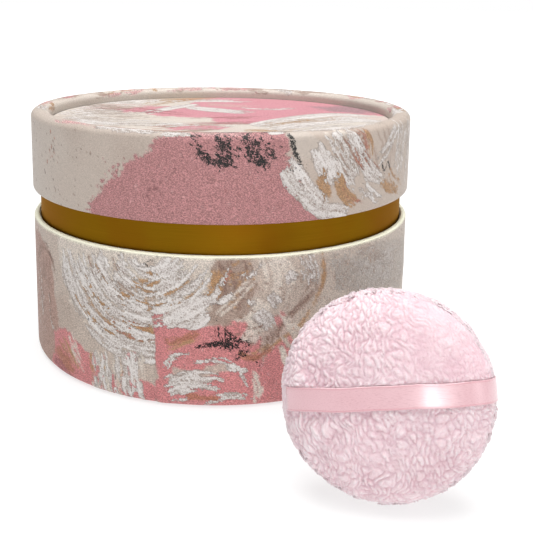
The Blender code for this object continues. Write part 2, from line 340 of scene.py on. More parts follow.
    def sample(self, field, u, v):
        """Field values at (u, v) places."""
        x = np.clip((u - self.u_low) / self.cell - 0.5, 0, len(self.u) - 1.001)
        y = np.clip((v - self.v_low) / self.cell - 0.5, 0, len(self.v) - 1.001)
        i = x.astype(int)
        j = y.astype(int)
        fx = x - i
        fy = y - j
        if field.ndim == 3:
            fx = fx[..., None]
            fy = fy[..., None]
        low = field[i, j] * (1 - fx) + field[i + 1, j] * fx
        high = field[i, j + 1] * (1 - fx) + field[i + 1, j + 1] * fx
        return low * (1 - fy) + high * fy


def smooth_line(points):
    """A Catmull-Rom curve through the points, with a place about every millimetre."""
    points = np.array(points, float)
    if len(points) < 3:
        return points
    padded = np.vstack([2 * points[0] - points[1], points, 2 * points[-1] - points[-2]])
    line = []
    for k in range(1, len(padded) - 2):
        p0, p1, p2, p3 = padded[k - 1 : k + 3]
        steps = max(2, int(np.hypot(*(p2 - p1)) / 1.2))
        for t in np.linspace(0, 1, steps, endpoint=False):
            line.append(0.5 * (2 * p1 + (p2 - p0) * t + (2 * p0 - 5 * p1 + 4 * p2 - p3) * t**2
                               + (3 * p1 - p0 - 3 * p2 + p3) * t**3))
    line.append(points[-1])
    return np.array(line)


def lengths_along(line):
    """How far each point of a line is from its start, along the line."""
    return np.concatenate([[0.0], np.cumsum(np.linalg.norm(np.diff(line, axis=0), axis=1))])


def points_between(points, start, end, count):
    """Evenly spaced points on a path, from one share of its length to another."""
    line = smooth_line(points)
    lengths = lengths_along(line)
    wanted = np.linspace(start, end, count) * lengths[-1]
    return np.stack([np.interp(wanted, lengths, line[:, 0]), np.interp(wanted, lengths, line[:, 1])], 1)


# ---------------------------------------------------------------- the print


def wash(paper, color, size_u, size_v, seed, low, high, opacity):
    """Cloudy areas of one colour over the whole sheet."""
    gu, gv = np.meshgrid(paper.u, paper.v, indexing="ij")
    cover = smoothstep(low, high, paper.cloud(gu, gv, size_u, size_v, seed)) * opacity
    paper.lay(slice(None), slice(None), cover, color, 0.0)


def flower(paper, cu, cv, reach):
    """A loose white rose with beige and ochre between its petals, for the sides that are turned away."""
    outline = [(cu + reach * 1.05 * math.cos(a), cv + reach * 0.8 * math.sin(a))
               for a in np.linspace(0, math.tau, 12, endpoint=False)]
    paper.patch(outline, CREAM, 2.0, 0.8, 1.2, 5.0)
    paper.rings((cu, cv), (0.25 * reach, 0.95 * reach), (0, 360), 9, 1.5, OCHRE, 0.6, 0.3, 0.85)
    paper.rings((cu, cv), (0.4 * reach, 0.9 * reach), (0, 360), 6, 1.6, TAUPE, 0.6, 0.3, 0.85)
    for start in (15, 105, 200, 290):
        turn = math.radians(start + 50)
        petal = (cu + 0.22 * reach * math.cos(turn), cv + 0.18 * reach * math.sin(turn))
        wide, narrow = (0.3 * reach, 0.85 * reach), (0.35 * reach, 0.8 * reach)
        paper.rings(petal, wide, (start, start + 105), 17, 2.1, "white", 0.46, 0.9, 0.85)
        paper.rings(petal, narrow, (start, start + 95), 3, 1.2, BEIGE, 0.5, 0.4, 0.85)
    paper.rings((cu, cv), (0.1 * reach, 0.35 * reach), (0, 330), 10, 1.3, "white", 0.45, 0.9, 0.85)
    paper.ticks((cu, cv), (2.2, 1.6), 9, 1.1, 0.28, "ink")


def scatter(paper, rose, brown, count, length, span, reaches, heights, rises, arch, spreads, numbers,
            width, height):
    """Bundles of strokes in mixed colours, spread by seeded chance over the sides that are turned away.

    Each pair is the least value and what chance adds to it, and rises is the whole range of slopes.
    """
    pick = paper.random
    colors = (rose, OCHRE, TAUPE, brown, CREAM, "white", "white")
    for _ in range(count):
        place = round_place(span[0] + span[1] * pick.rand(), length)
        color = colors[pick.randint(7)]
        reach = reaches[0] + reaches[1] * pick.rand()
        low = heights[0] + heights[1] * pick.rand()
        rise = rises * (pick.rand() - 0.5)
        path = [(place - reach, low), (place, low + 0.6 * rise + arch), (place + reach, low + rise)]
        spread = spreads[0] + spreads[1] * pick.rand()
        number = numbers[0] + pick.randint(numbers[1])
        paper.bundle(path, spread, number, width, color, 0.55, height, 0.9)


def round_place(place, length):
    """A place round the jar brought into the sheet's own range, with the front at 0."""
    return (place + length / 2) % length - length / 2


def paint_lid_side():
    """The lid's side and rolled rim. v is the height, and above the shoulder the way over the rim."""
    around = math.tau * LID_RADIUS
    paper = Paper((-around / 2, around / 2), (52.0, 87.0), PAINT_CELL, GREIGE, 11, around)
    wash(paper, BEIGE, 34, 18, 5, 0.45, 0.75, 0.5)
    wash(paper, TAUPE, 22, 16, 21, 0.66, 0.9, 0.35)

    # plain stretch at the left with flecks
    paper.dots((-60, 66), (56, 23), 70, 0.46, UMBER, 1.0)
    paper.dots((-46, 63), (30, 20), 34, 0.44, printed(100, 74, 64), 1.0)
    paper.dots((-66, 66), (30, 23), 22, 0.42, printed(150, 104, 84), 0.85)
    paper.ticks((-56, 69), (9, 9), 9, 1.2, 0.45, RUST, 1.5, 0.4)

    # pink field that ends in a slanting ragged edge
    paper.patch([(-40, 50), (-36.5, 57), (-30, 63.5), (-24, 68), (-17, 74), (-11, 79), (-4, 81.5), (8, 82.5),
                 (22, 81.5), (23, 74), (24, 66), (30, 60), (39, 50)], ROSE, 1.3, 1.0, 0.35, 2.6)
    paper.ticks((-30, 62), (14, 3), 70, 1.6, 0.5, ROSE, 0.85, 0.8, 0.1)
    paper.dots((-4, 63), (56, 22), 110, 0.4, BLUSH, 0.7)
    paper.dots((-4, 63), (56, 22), 60, 0.36, DEEP_ROSE, 0.8)
    paper.ticks((-14, 63), (7, 5), 22, 0.9, 0.3, printed(150, 96, 98), 0.9, 0.9)
    # painted light: a cream band over the inside of the rolled rim, lighter than the print to offset the
    # shade in the recess
    paper.patch([(-200, 82.2), (200, 82.2), (200, 88), (-200, 88)], CREAM, 0.6, 0.8, 0.4, 5.0)
    # strokes along the crown of the rolled rim; the pale pink and white ones at the front are partly print
    # and partly a painted highlight where the crown catches the light
    for mark in (
        ([(-12, 79.4), (0, 79.8), (12, 79.6)], 1.6, 12, 1.0, BLUSH, 0.5, 0.3, 0.9),
        ([(-36, 79.2), (-24, 79.8), (-10, 80)], 1.6, 8, 1.1, "white", 0.52, 0.6, 1.0, 1.0),
        ([(-14, 78.6), (-8, 79.2), (-2, 78.8)], 1.4, 9, 0.9, "white", 0.45, 0.6),
        ([(-18, 80), (-6, 80.4), (6, 80.2)], 1.0, 8, 0.9, TAUPE, 0.5, 0.3, 0.9),
        ([(16, 80), (24, 80.4), (34, 80)], 1.4, 12, 1.3, "white", 0.48, 0.6),
        ([(-56, 79.6), (-44, 80.2), (-32, 79.8)], 1.8, 9, 1.0, BLUSH, 0.58, 0.3, 0.8),
        ([(-40, 80.6), (-20, 81), (0, 81)], 1.0, 7, 0.8, RUST, 0.6, 0.3, 0.7),
    ):
        paper.bundle(*mark)

    # beige and ochre ground of the white rose at the right
    paper.patch([(21, 82), (22, 70), (26, 62), (34, 56), (44, 50), (80, 50), (86, 84), (40, 86)],
                BEIGE, 1.6, 0.95, 0.6, 4.0)
    paper.patch([(21, 79.5), (26, 80), (33, 75), (31, 71), (24, 72)], GREIGE, 1.0, 1.0, 0.5)
    for mark in (
        ([(32, 67), (33, 62), (36, 57)], 3.5, 13, 1.1, OCHRE, 0.5, 0.3),
        ([(38, 65), (40, 60), (46, 56.5)], 4, 15, 1.1, OCHRE, 0.5, 0.3),
        ([(39, 64), (42, 59), (49, 55.5)], 2, 7, 0.9, RUST, 0.55, 0.3),
        ([(60, 64), (64, 60), (72, 56)], 5, 16, 1.0, OCHRE, 0.6, 0.3),
        ([(46, 79), (49, 75), (50, 71)], 4, 12, 0.9, RUST, 0.6, 0.3, 0.7),
        ([(34, 80), (40, 74), (45, 66)], 7, 14, 1.2, CREAM, 0.4, 0.3),
        ([(54, 80), (59, 70), (62, 58)], 12, 20, 1.2, TAUPE, 0.62, 0.3, 0.6),
    ):
        paper.bundle(*mark)

    # white petals, thick slanting strokes with a scalloped edge against the pink
    for mark in (
        ([(20.5, 69), (23, 64.5), (27, 61)], 2.6, 16, 1.9, "white", 0.42, 1.0),
        ([(25, 63), (28, 59.5), (33, 56.5), (42, 54.8)], 3.2, 26, 1.9, "white", 0.42, 1.0),
        ([(22, 72), (25, 68), (29, 63), (34, 58)], 2.2, 14, 1.5, "white", 0.45, 1.0),
        ([(28.5, 74), (32, 68), (36, 62.5)], 3.0, 16, 1.6, "white", 0.45, 1.0),
        ([(35.5, 78), (39, 71), (45, 64)], 5.0, 32, 1.8, "white", 0.42, 1.0),
        ([(40, 78), (46, 70.5), (53, 66)], 4.0, 26, 1.8, "white", 0.44, 1.0),
        ([(47, 63), (51, 58.5), (57, 55.5)], 4.0, 12, 1.4, "white", 0.55, 0.9),
        ([(66, 77), (60, 72), (54, 68)], 4.0, 16, 1.2, "white", 0.52, 0.9),
        ([(72, 80), (71, 70), (68, 60)], 9.0, 22, 1.0, "white", 0.55, 0.8),
        ([(80, 80), (80, 68), (78, 56)], 8.0, 16, 1.2, "white", 0.6, 0.8),
        ([(24, 83.5), (40, 82.5), (62, 83.5)], 5, 20, 1.7, "white", 0.55, 0.8),
        ([(32, 77), (37, 69), (44, 61)], 4.0, 20, 1.7, "white", 0.44, 1.0),
        ([(42, 76), (49, 67), (58, 61)], 5.0, 20, 1.6, "white", 0.46, 1.0),
        ([(31, 69), (33, 63), (36, 58)], 3.0, 9, 0.8, OCHRE, 0.5, 0.5),
        ([(37, 67), (40, 61), (46, 57)], 3.4, 11, 0.9, OCHRE, 0.5, 0.5),
        ([(36, 76), (41, 70), (46, 64)], 6.0, 14, 0.6, TAUPE, 0.5, 0.5),
        ([(30, 79), (34, 76), (38, 70)], 4.0, 8, 0.8, BEIGE, 0.5, 0.5),
        ([(42, 78), (48, 70), (54, 64)], 7.0, 16, 0.7, RUST, 0.56, 0.5, 0.8),
        ([(47, 79), (50, 74), (51, 69)], 4.0, 8, 0.7, OCHRE, 0.5, 0.5),
        ([(56, 62), (62, 59), (70, 57)], 4.0, 12, 0.8, OCHRE, 0.5, 0.5),
    ):
        paper.bundle(*mark)

    # scribbles of nearly dry black paint below the rim
    scribbles = (
        ([(-4.5, 79), (-3, 75), (-1, 71.5)], 2.2),
        ([(3, 79), (3.5, 75), (5, 71)], 5.5),
        ([(-1, 72), (2, 71), (6, 70.8)], 1.8),
        ([(8.5, 80), (12, 76), (17.5, 71)], 6.0),
        ([(9, 79), (11, 74), (14, 70.5)], 3.0),
        ([(21.5, 80), (23, 75), (25, 70.5)], 1.2),
    )
    for path, spread in scribbles:
        for share in np.linspace(0.08, 0.95, 9):
            spot = points_between(path, share, min(share + 0.05, 1.0), 2)[0]
            number = int(5 + spread * (2.4 + 3.4 * share))
            paper.ticks(spot, (1.6, spread * 0.76), number, 1.2, 0.27, "ink", -0.95, 1.0)
    paper.bundle([(21.7, 79), (23, 75), (24.8, 71)], 0.8, 4, 0.5, "ink", 0.36, 0.3)
    paper.bundle([(-3, 80.3), (8, 80.8), (26, 80.2)], 1.8, 10, 0.3, "ink", 0.45, 0.2, 1.0, 1.2)
    paper.ticks((25, 69.5), (5, 2.2), 12, 0.8, 0.22, "ink", 0.3, 1.2)
    paper.bundle([(56.5, 68), (58.5, 64), (60, 67), (62, 63.5)], 1.8, 6, 0.36, "ink", 0.4, 0.3)

    # the sides that are turned away
    paper.patch([(92, 50), (98, 64), (112, 70), (130, 66), (146, 58), (150, 50)], ROSE, 1.6, 1.0, 0.4, 3.0)
    flower(paper, 128, 70, 13)
    paper.bundle([(100, 76), (110, 70), (124, 60)], 10, 16, 1.2, OCHRE, 0.6, 0.3)
    paper.patch([(-180, 52), (-172, 66), (-158, 72), (-140, 66), (-126, 52)], ROSE, 1.6, 1.0, 0.4, 3.0)
    flower(paper, -150, 68, 12)
    flower(paper, -104, 62, 10)
    paper.bundle([(-130, 78), (-118, 68), (-108, 58)], 12, 16, 1.2, TAUPE, 0.6, 0.3)
    paper.bundle([(172, 60), (188, 66), (206, 62)], 10, 22, 1.6, "white", 0.5, 0.9)
    paper.bundle([(168, 70), (186, 74), (204, 70)], 6, 12, 1.2, OCHRE, 0.6, 0.3)
    pick = paper.random
    for _ in range(46):
        place = round_place(82 + 232 * pick.rand(), 396)
        color = (ROSE, OCHRE, TAUPE, BLUSH, CREAM, "white")[pick.randint(6)]
        reach = 2 + 7 * pick.rand()
        low = 79.5 + 3 * pick.rand()
        middle = (place, low + 1.5 * pick.rand())
        path = [(place - reach, low), middle, (place + reach, low + 2 * pick.rand() - 0.5)]
        paper.bundle(path, 2 + 2.5 * pick.rand(), 3 + pick.randint(5), 1.5, color, 0.5, 0.3, 0.85)
    scatter(paper, ROSE, RUST, 44, 396, (100, 196), (2, 5), (55, 20), 14, 1, (2, 3), (7, 9), 1.2, 0.4)
    paper.bundle([(-100, 83.8), (-70, 83.4), (-40, 84)], 3, 8, 1.0, TAUPE, 0.7, 0.2, 0.5)
    return paper


def paint_base_side():
    """The base's side. v is the height above the table, and it runs on under the rounded foot."""
    around = math.tau * BASE_RADIUS
    paper = Paper((-around / 2, around / 2), (-8.0, 48.0), PAINT_CELL, BEIGE, 23, around)
    wash(paper, CREAM, 30, 20, 4, 0.5, 0.75, 0.5)
    wash(paper, TAUPE, 26, 14, 8, 0.6, 0.85, 0.5)

    # brown brushed stretch at the far left
    paper.patch([(-86, 30), (-76, 42), (-60, 38), (-55, 24), (-52, 10), (-60, -2), (-86, -2)],
                printed(190, 154, 140), 2.0, 0.95, 1.0, 5.0)
    paper.bundle([(-72, 32), (-66, 38), (-58, 37), (-55, 30)], 3, 12, 1.0, UMBER, 0.6, 0.3, 0.8)
    paper.bundle([(-66, 34), (-64, 20), (-58, 6)], 14, 30, 1.0, UMBER, 0.66, 0.4, 0.8)
    paper.bundle([(-70, 30), (-66, 16), (-60, 4)], 16, 18, 0.9, "white", 0.68, 0.5)
    paper.dots((-66, 20), (20, 30), 60, 0.3, UMBER, 0.7)

    # pink and rust at the lower left
    paper.patch([(-57, 12), (-50, 16), (-46, 16), (-42, 11), (-36, 8), (-27, 8), (-20, 6), (-15, 7),
                 (-15, -8), (-60, -8)], BASE_ROSE, 1.4, 1.0, 0.5, 3.0)
    for mark in (
        ([(-56, 9), (-52, 6), (-46, 1)], 6, 18, 1.4, RUST, 0.5, 0.3),
        ([(-58, 3), (-50, 0), (-42, -4)], 5, 14, 1.2, DEEP_ROSE, 0.5, 0.4),
        ([(-48, 14), (-44, 9), (-38, 4)], 4, 9, 1.0, CREAM, 0.5, 0.5),
        ([(-52, 12), (-48, 8), (-44, 3)], 4, 8, 1.0, OCHRE, 0.5, 0.3),
    ):
        paper.bundle(*mark)
    paper.dots((-50, 6), (16, 12), 40, 0.4, BLUSH, 0.7)

    # the large rose: rings of thick white about a heart at the top edge
    heart = (-18.0, 45.0)
    outline = [(heart[0] + 36 * math.cos(a), heart[1] + 30 * math.sin(a))
               for a in np.linspace(math.pi, math.tau, 14)]
    paper.patch(outline + [(20, 50), (-56, 50)], CREAM, 2.0, 0.9, 1.0, 6.0)
    paper.rings(heart, (12, 30), (190, 330), 26, 2.2, BEIGE, 0.4, 0.2, 0.86)
    paper.rings(heart, (10, 20), (180, 300), 14, 1.4, TAUPE, 0.55, 0.3, 0.9)
    paper.patch([(-34, 22), (-28, 24), (-21, 22), (-20, 18), (-27, 16), (-33, 18)],
                OCHRE, 1.4, 0.75, 0.8, 2.0)
    for mark in (
        (heart, (28, 36), (186, 250), 26, 1.7, "white", 0.5, 1.0, 0.9),
        (heart, (28, 36), (226, 290), 34, 1.9, "white", 0.44, 1.0, 0.9),
        (heart, (22, 29), (188, 300), 34, 1.6, "white", 0.48, 1.0, 0.92),
        (heart, (15, 22), (182, 322), 36, 1.5, "white", 0.5, 1.0, 0.9),
        (heart, (9, 15), (182, 345), 24, 1.4, "white", 0.5, 1.0, 0.92),
        (heart, (3, 9), (185, 355), 20, 1.2, "white", 0.45, 1.0),
        (heart, (8, 15), (240, 335), 20, 1.1, OCHRE, 0.5, 0.5, 0.9),
        (heart, (15, 20), (230, 300), 12, 0.9, OCHRE, 0.55, 0.5, 0.9),
        (heart, (23, 29), (214, 292), 26, 1.3, OCHRE, 0.48, 0.5, 0.9),
        (heart, (24, 29), (236, 292), 7, 0.9, RUST, 0.55, 0.5, 0.9),
        (heart, (10, 30), (190, 320), 14, 0.8, TAUPE, 0.5, 0.5, 0.9),
        (heart, (14, 34), (188, 300), 46, 1.6, "white", 0.46, 1.0, 0.92),
        (heart, (5, 20), (185, 340), 30, 1.0, "white", 0.5, 1.0, 0.92),
        ((-20, 44), (6, 34), (185, 310), 11, 0.6, BEIGE, 0.45, 0.4, 0.92),
        ((-20, 44), (6, 30), (190, 320), 9, 0.6, OCHRE, 0.5, 0.4, 0.92),
    ):
        paper.rings(*mark)
    paper.dots((-28, 30), (40, 26), 70, 0.36, UMBER, 0.7)
    paper.ticks((-16.5, 42.2), (3.4, 1.6), 20, 0.9, 0.26, "ink", 0.2, 1.2)
    paper.ticks((-36, 21), (2.4, 4.0), 8, 0.8, 0.24, "ink", 1.2, 0.9)

    # upright streaks under the rose
    for pigment, number, dry in ((BLUSH, 12, 0.5), (CREAM, 16, 0.45), (OCHRE, 6, 0.6), ("white", 26, 0.48)):
        paper.bundle([(-29, 14), (-28.5, 7), (-27, -3)], 20, number, 1.4, pigment, dry, 0.8)

    # right of the paper's seam: pink ground, brown field and petals
    paper.patch([(SEAM, -8), (SEAM, 27), (-8, 29), (-1, 24), (7, 26), (15, 27), (24, 27), (26, 12), (28, -8)],
                BASE_ROSE, 1.2, 1.0, 0.5, 3.0)
    paper.dots((5, 9), (40, 26), 90, 0.42, BLUSH, 0.7)
    paper.dots((5, 9), (40, 26), 90, 0.34, RUST, 0.6)
    paper.patch([(0, 46), (1, 34), (-2, 26), (5, 24), (11, 27), (15, 34), (19, 46)],
                TAUPE, 1.4, 0.95, 0.8, 3.0)
    paper.bundle([(5, 44), (7, 36), (6, 27)], 9, 24, 1.0, UMBER, 0.6, 0.3, 0.8)
    paper.ticks((7, 35), (11, 12), 110, 1.3, 0.36, UMBER, 0.8, 0.9)
    paper.ticks((7, 37), (12, 12), 90, 1.3, 0.36, OCHRE, 0.8, 0.9)
    paper.bundle([(2, 28), (8, 34), (15, 41)], 2.5, 12, 0.5, CREAM, 0.5, 0.5)
    paper.bundle([(2, 41), (1.5, 37), (1, 33)], 3, 14, 1.0, OCHRE, 0.45, 0.3)
    paper.bundle([(6, 41), (3, 37)], 2, 6, 0.9, RUST, 0.5, 0.3)
    paper.patch([(SEAM, 46), (SEAM, 28), (-9, 29), (-2, 34), (2, 46)], CREAM, 1.0, 0.95, 0.6)
    for mark in (
        ((-20, 50), (9, 26), (272, 338), 12, 1.6, BEIGE, 0.5, 0.3),
        ((-20, 50), (8, 28), (274, 346), 30, 1.5, "white", 0.5, 1.0),
        ((-20, 50), (9, 26), (272, 338), 10, 1.0, OCHRE, 0.5, 0.5),
        ((-20, 50), (8, 28), (274, 346), 22, 1.1, "white", 0.5, 1.0),
    ):
        paper.rings(*mark)
    paper.bundle([(-13, 25.5), (-8, 27.5), (-2, 31.5), (3, 33)], 3.0, 24, 1.6, "white", 0.45, 1.0)
    paper.bundle([(-9, 24), (-4, 25), (0, 28)], 2.6, 16, 1.5, "white", 0.45, 1.0)
    paper.stroke([(2.5, 31), (5, 33), (6.5, 34.5)], 2.0, "white", 0.3, 1.0)
    paper.bundle([(-13, 19), (-8, 20.5), (-2, 23)], 1.6, 9, 0.9, RUST, 0.45, 0.3)
    paper.bundle([(-12, 17.5), (-6, 19.8), (-2, 21.5)], 1.0, 5, 0.7, OCHRE, 0.45, 0.3)

    # thin curved lines, beige patches and white strokes in the pink
    paper.patch([(-12, 8), (-10, 12), (-3, 11.5), (4, 13.5), (7, 12), (0, 9), (-6, 7)], BEIGE, 0.9, 0.9, 0.5)
    for mark in (
        ([(-14, 10), (-10, 15), (-4, 16)], 1.8, 7, 0.6, "white", 0.35, 0.8),
        ([(-4, 14), (4, 14.5), (9, 11), (11, 6)], 1.6, 7, 0.6, "white", 0.4, 0.8),
        ([(5, 12.6), (8, 11.6), (11, 11.2)], 1.4, 7, 1.1, "white", 0.35, 0.9),
        ([(-13, 6), (-7, 8), (0, 8.5), (5, 8)], 5.0, 18, 1.1, "white", 0.45, 1.0, 1.0, 1.2),
        ([(-12, 3), (-5, 5), (1, 5.5)], 4.0, 10, 0.9, "white", 0.5, 0.9, 1.0, 1.2),
        ([(-2, 1), (6, 3), (13, 2)], 3.0, 12, 0.9, "white", 0.55, 0.8),
        ([(-7, 3), (-1, 3.6), (4, 3)], 1.4, 8, 0.9, RUST, 0.45, 0.3),
        ([(12, 11), (14, 6), (14, 1)], 3.0, 9, 0.9, CREAM, 0.5, 0.4),
    ):
        paper.bundle(*mark)

    # beige petals with an ochre outline
    paper.patch([(12, 46), (13, 34), (10, 27), (14, 20), (15, 14), (19, 17), (27, 24), (33, 33), (34, 46)],
                BEIGE, 1.4, 0.9, 0.6, 4.0)
    paper.patch([(13, 33), (11, 27), (9, 21), (13, 19), (16, 24), (18, 30)], CREAM, 0.9, 0.9, 0.5)
    paper.patch([(18, 25), (20, 28), (22, 27), (20, 22)], BASE_ROSE, 0.8, 0.8, 0.5, 2.0)
    for mark in (
        ([(18, 45), (21, 38), (19, 30)], 10, 22, 1.3, CREAM, 0.5, 0.3),
        ([(32.5, 45), (34, 38), (32, 31.5), (27, 24), (17, 18), (9, 15.5)],
         1.3, 14, 0.6, OCHRE, 0.48, 0.3, 0.9),
        ([(31.5, 34), (25, 28), (19, 22), (15, 16)], 1.6, 12, 0.6, UMBER, 0.52, 0.3, 0.9),
        ([(8, 16), (13, 15), (18, 18)], 1.8, 10, 0.8, RUST, 0.5, 0.3),
        ([(28, 44), (30, 36), (25, 28)], 5, 14, 0.8, TAUPE, 0.6, 0.3),
        ([(10, 38), (13, 40), (16, 44)], 3, 10, 0.8, "white", 0.6, 0.6),
        ([(21.5, 36.5), (23.5, 38), (25.5, 38)], 3.0, 14, 1.2, "white", 0.38, 1.0),
        ([(17, 33.5), (18.5, 31.5), (19.5, 29.5)], 2.8, 12, 1.2, "white", 0.38, 1.0),
        ([(13, 28.5), (15.5, 26), (18.5, 23)], 3.4, 20, 1.3, "white", 0.38, 1.0),
        ([(11, 33), (12.5, 30)], 1.8, 8, 0.9, "white", 0.5, 0.8),
        ([(22, 22), (25, 18), (30, 14)], 5, 14, 1.0, BEIGE, 0.5, 0.3),
        ([(20, 28), (23, 24), (27, 20)], 2.0, 10, 0.8, CREAM, 0.45, 0.5),
        ([(20, 18), (22, 14), (23, 11)], 1.6, 8, 0.8, CREAM, 0.45, 0.5),
        ([(27, 44), (30, 38), (29, 33)], 7, 30, 0.7, "white", 0.6, 0.7),
    ):
        paper.bundle(*mark)
    paper.ticks((14, 22), (6, 8), 50, 1.2, 0.3, UMBER, 0.8, 0.9)
    paper.ticks((30, 28), (14, 20), 120, 1.2, 0.3, TAUPE, 1.0, 0.9)

    # black scribble, a thin stem that opens into a fan of marks
    paper.bundle([(-4, 18.3), (1, 19.3), (5, 20.6)], 1.2, 14, 0.4, "ink", 0.3, 0.3)
    for share in np.linspace(0.0, 1.0, 9):
        spot, size = (1 + 7.5 * share, 19.2 + 0.6 * share), (1.4, 0.8 + 8.0 * share)
        paper.ticks(spot, size, int(7 + 34 * share), 1.5, 0.3, "ink", 0.75, 0.8)
    paper.ticks((8, 15.8), (1.6, 1.0), 12, 1.2, 0.26, "ink", 0.9, 0.8)
    paper.ticks((11, 19.5), (1.0, 1.6), 9, 1.2, 0.28, "ink", 1.0, 0.7)
    paper.ticks((24.5, 17.2), (1.2, 1.0), 8, 1.0, 0.3, "ink", 0.9, 0.9)

    # right: plain beige with a sponged sheen
    paper.patch([(34, 50), (36, 36), (30, 26), (30, -8), (86, -8), (92, 50)], GREIGE, 1.6, 0.7, 1.5, 5.0)
    paper.bundle([(38, 40), (52, 34), (70, 26)], 16, 20, 2.4, TAUPE, 0.62, 0.2, 0.5)
    paper.patch([(36, 42), (40, 28), (52, 22), (72, 20), (84, 26), (84, 42), (60, 44)],
                "white", 4.0, 0.46, 5.0)
    paper.patch([(42, 40), (48, 31), (62, 27), (72, 32), (66, 40)], "white", 3.0, 0.6, 6.0)
    paper.dots((54, 28), (48, 30), 520, 0.42, TAUPE, 0.9)
    paper.dots((60, 32), (50, 26), 160, 0.36, UMBER, 0.7)

    # the sides that are turned away
    scatter(paper, BASE_ROSE, UMBER, 60, 395.2, (100, 195), (4, 7), (2, 38), 18, 2, (3, 5), (10, 12),
            1.4, 0.5)
    flower(paper, 112, 26, 22)
    flower(paper, -150, 20, 24)
    flower(paper, 178, 30, 16)
    paper.patch([(128, -8), (134, 12), (150, 18), (166, 10), (172, -8)], BASE_ROSE, 2.0, 1.0, 0.6, 4.0)
    paper.patch([(-128, 46), (-120, 30), (-104, 24), (-92, 32), (-90, 48)], BASE_ROSE, 2.0, 1.0, 0.6, 4.0)
    for mark in (
        ([(132, 16), (146, 20), (164, 12)], 4, 20, 1.6, "white", 0.48, 0.9),
        ([(-124, 40), (-112, 26), (-98, 18)], 5, 22, 1.6, "white", 0.48, 0.9),
        ([(-116, 20), (-104, 10), (-92, 4)], 10, 22, 1.2, OCHRE, 0.6, 0.3),
        ([(88, 8), (100, 4), (118, 2)], 8, 18, 1.4, RUST, 0.6, 0.3),
    ):
        paper.bundle(*mark)
    for share in np.linspace(0.0, 1.0, 8):
        spot, size = (146 + 8 * share, 34 - 4 * share), (1.4, 1.0 + 2.0 * share)
        paper.ticks(spot, size, int(4 + 9 * share), 1.3, 0.28, "ink", -0.7, 0.8)
    return paper


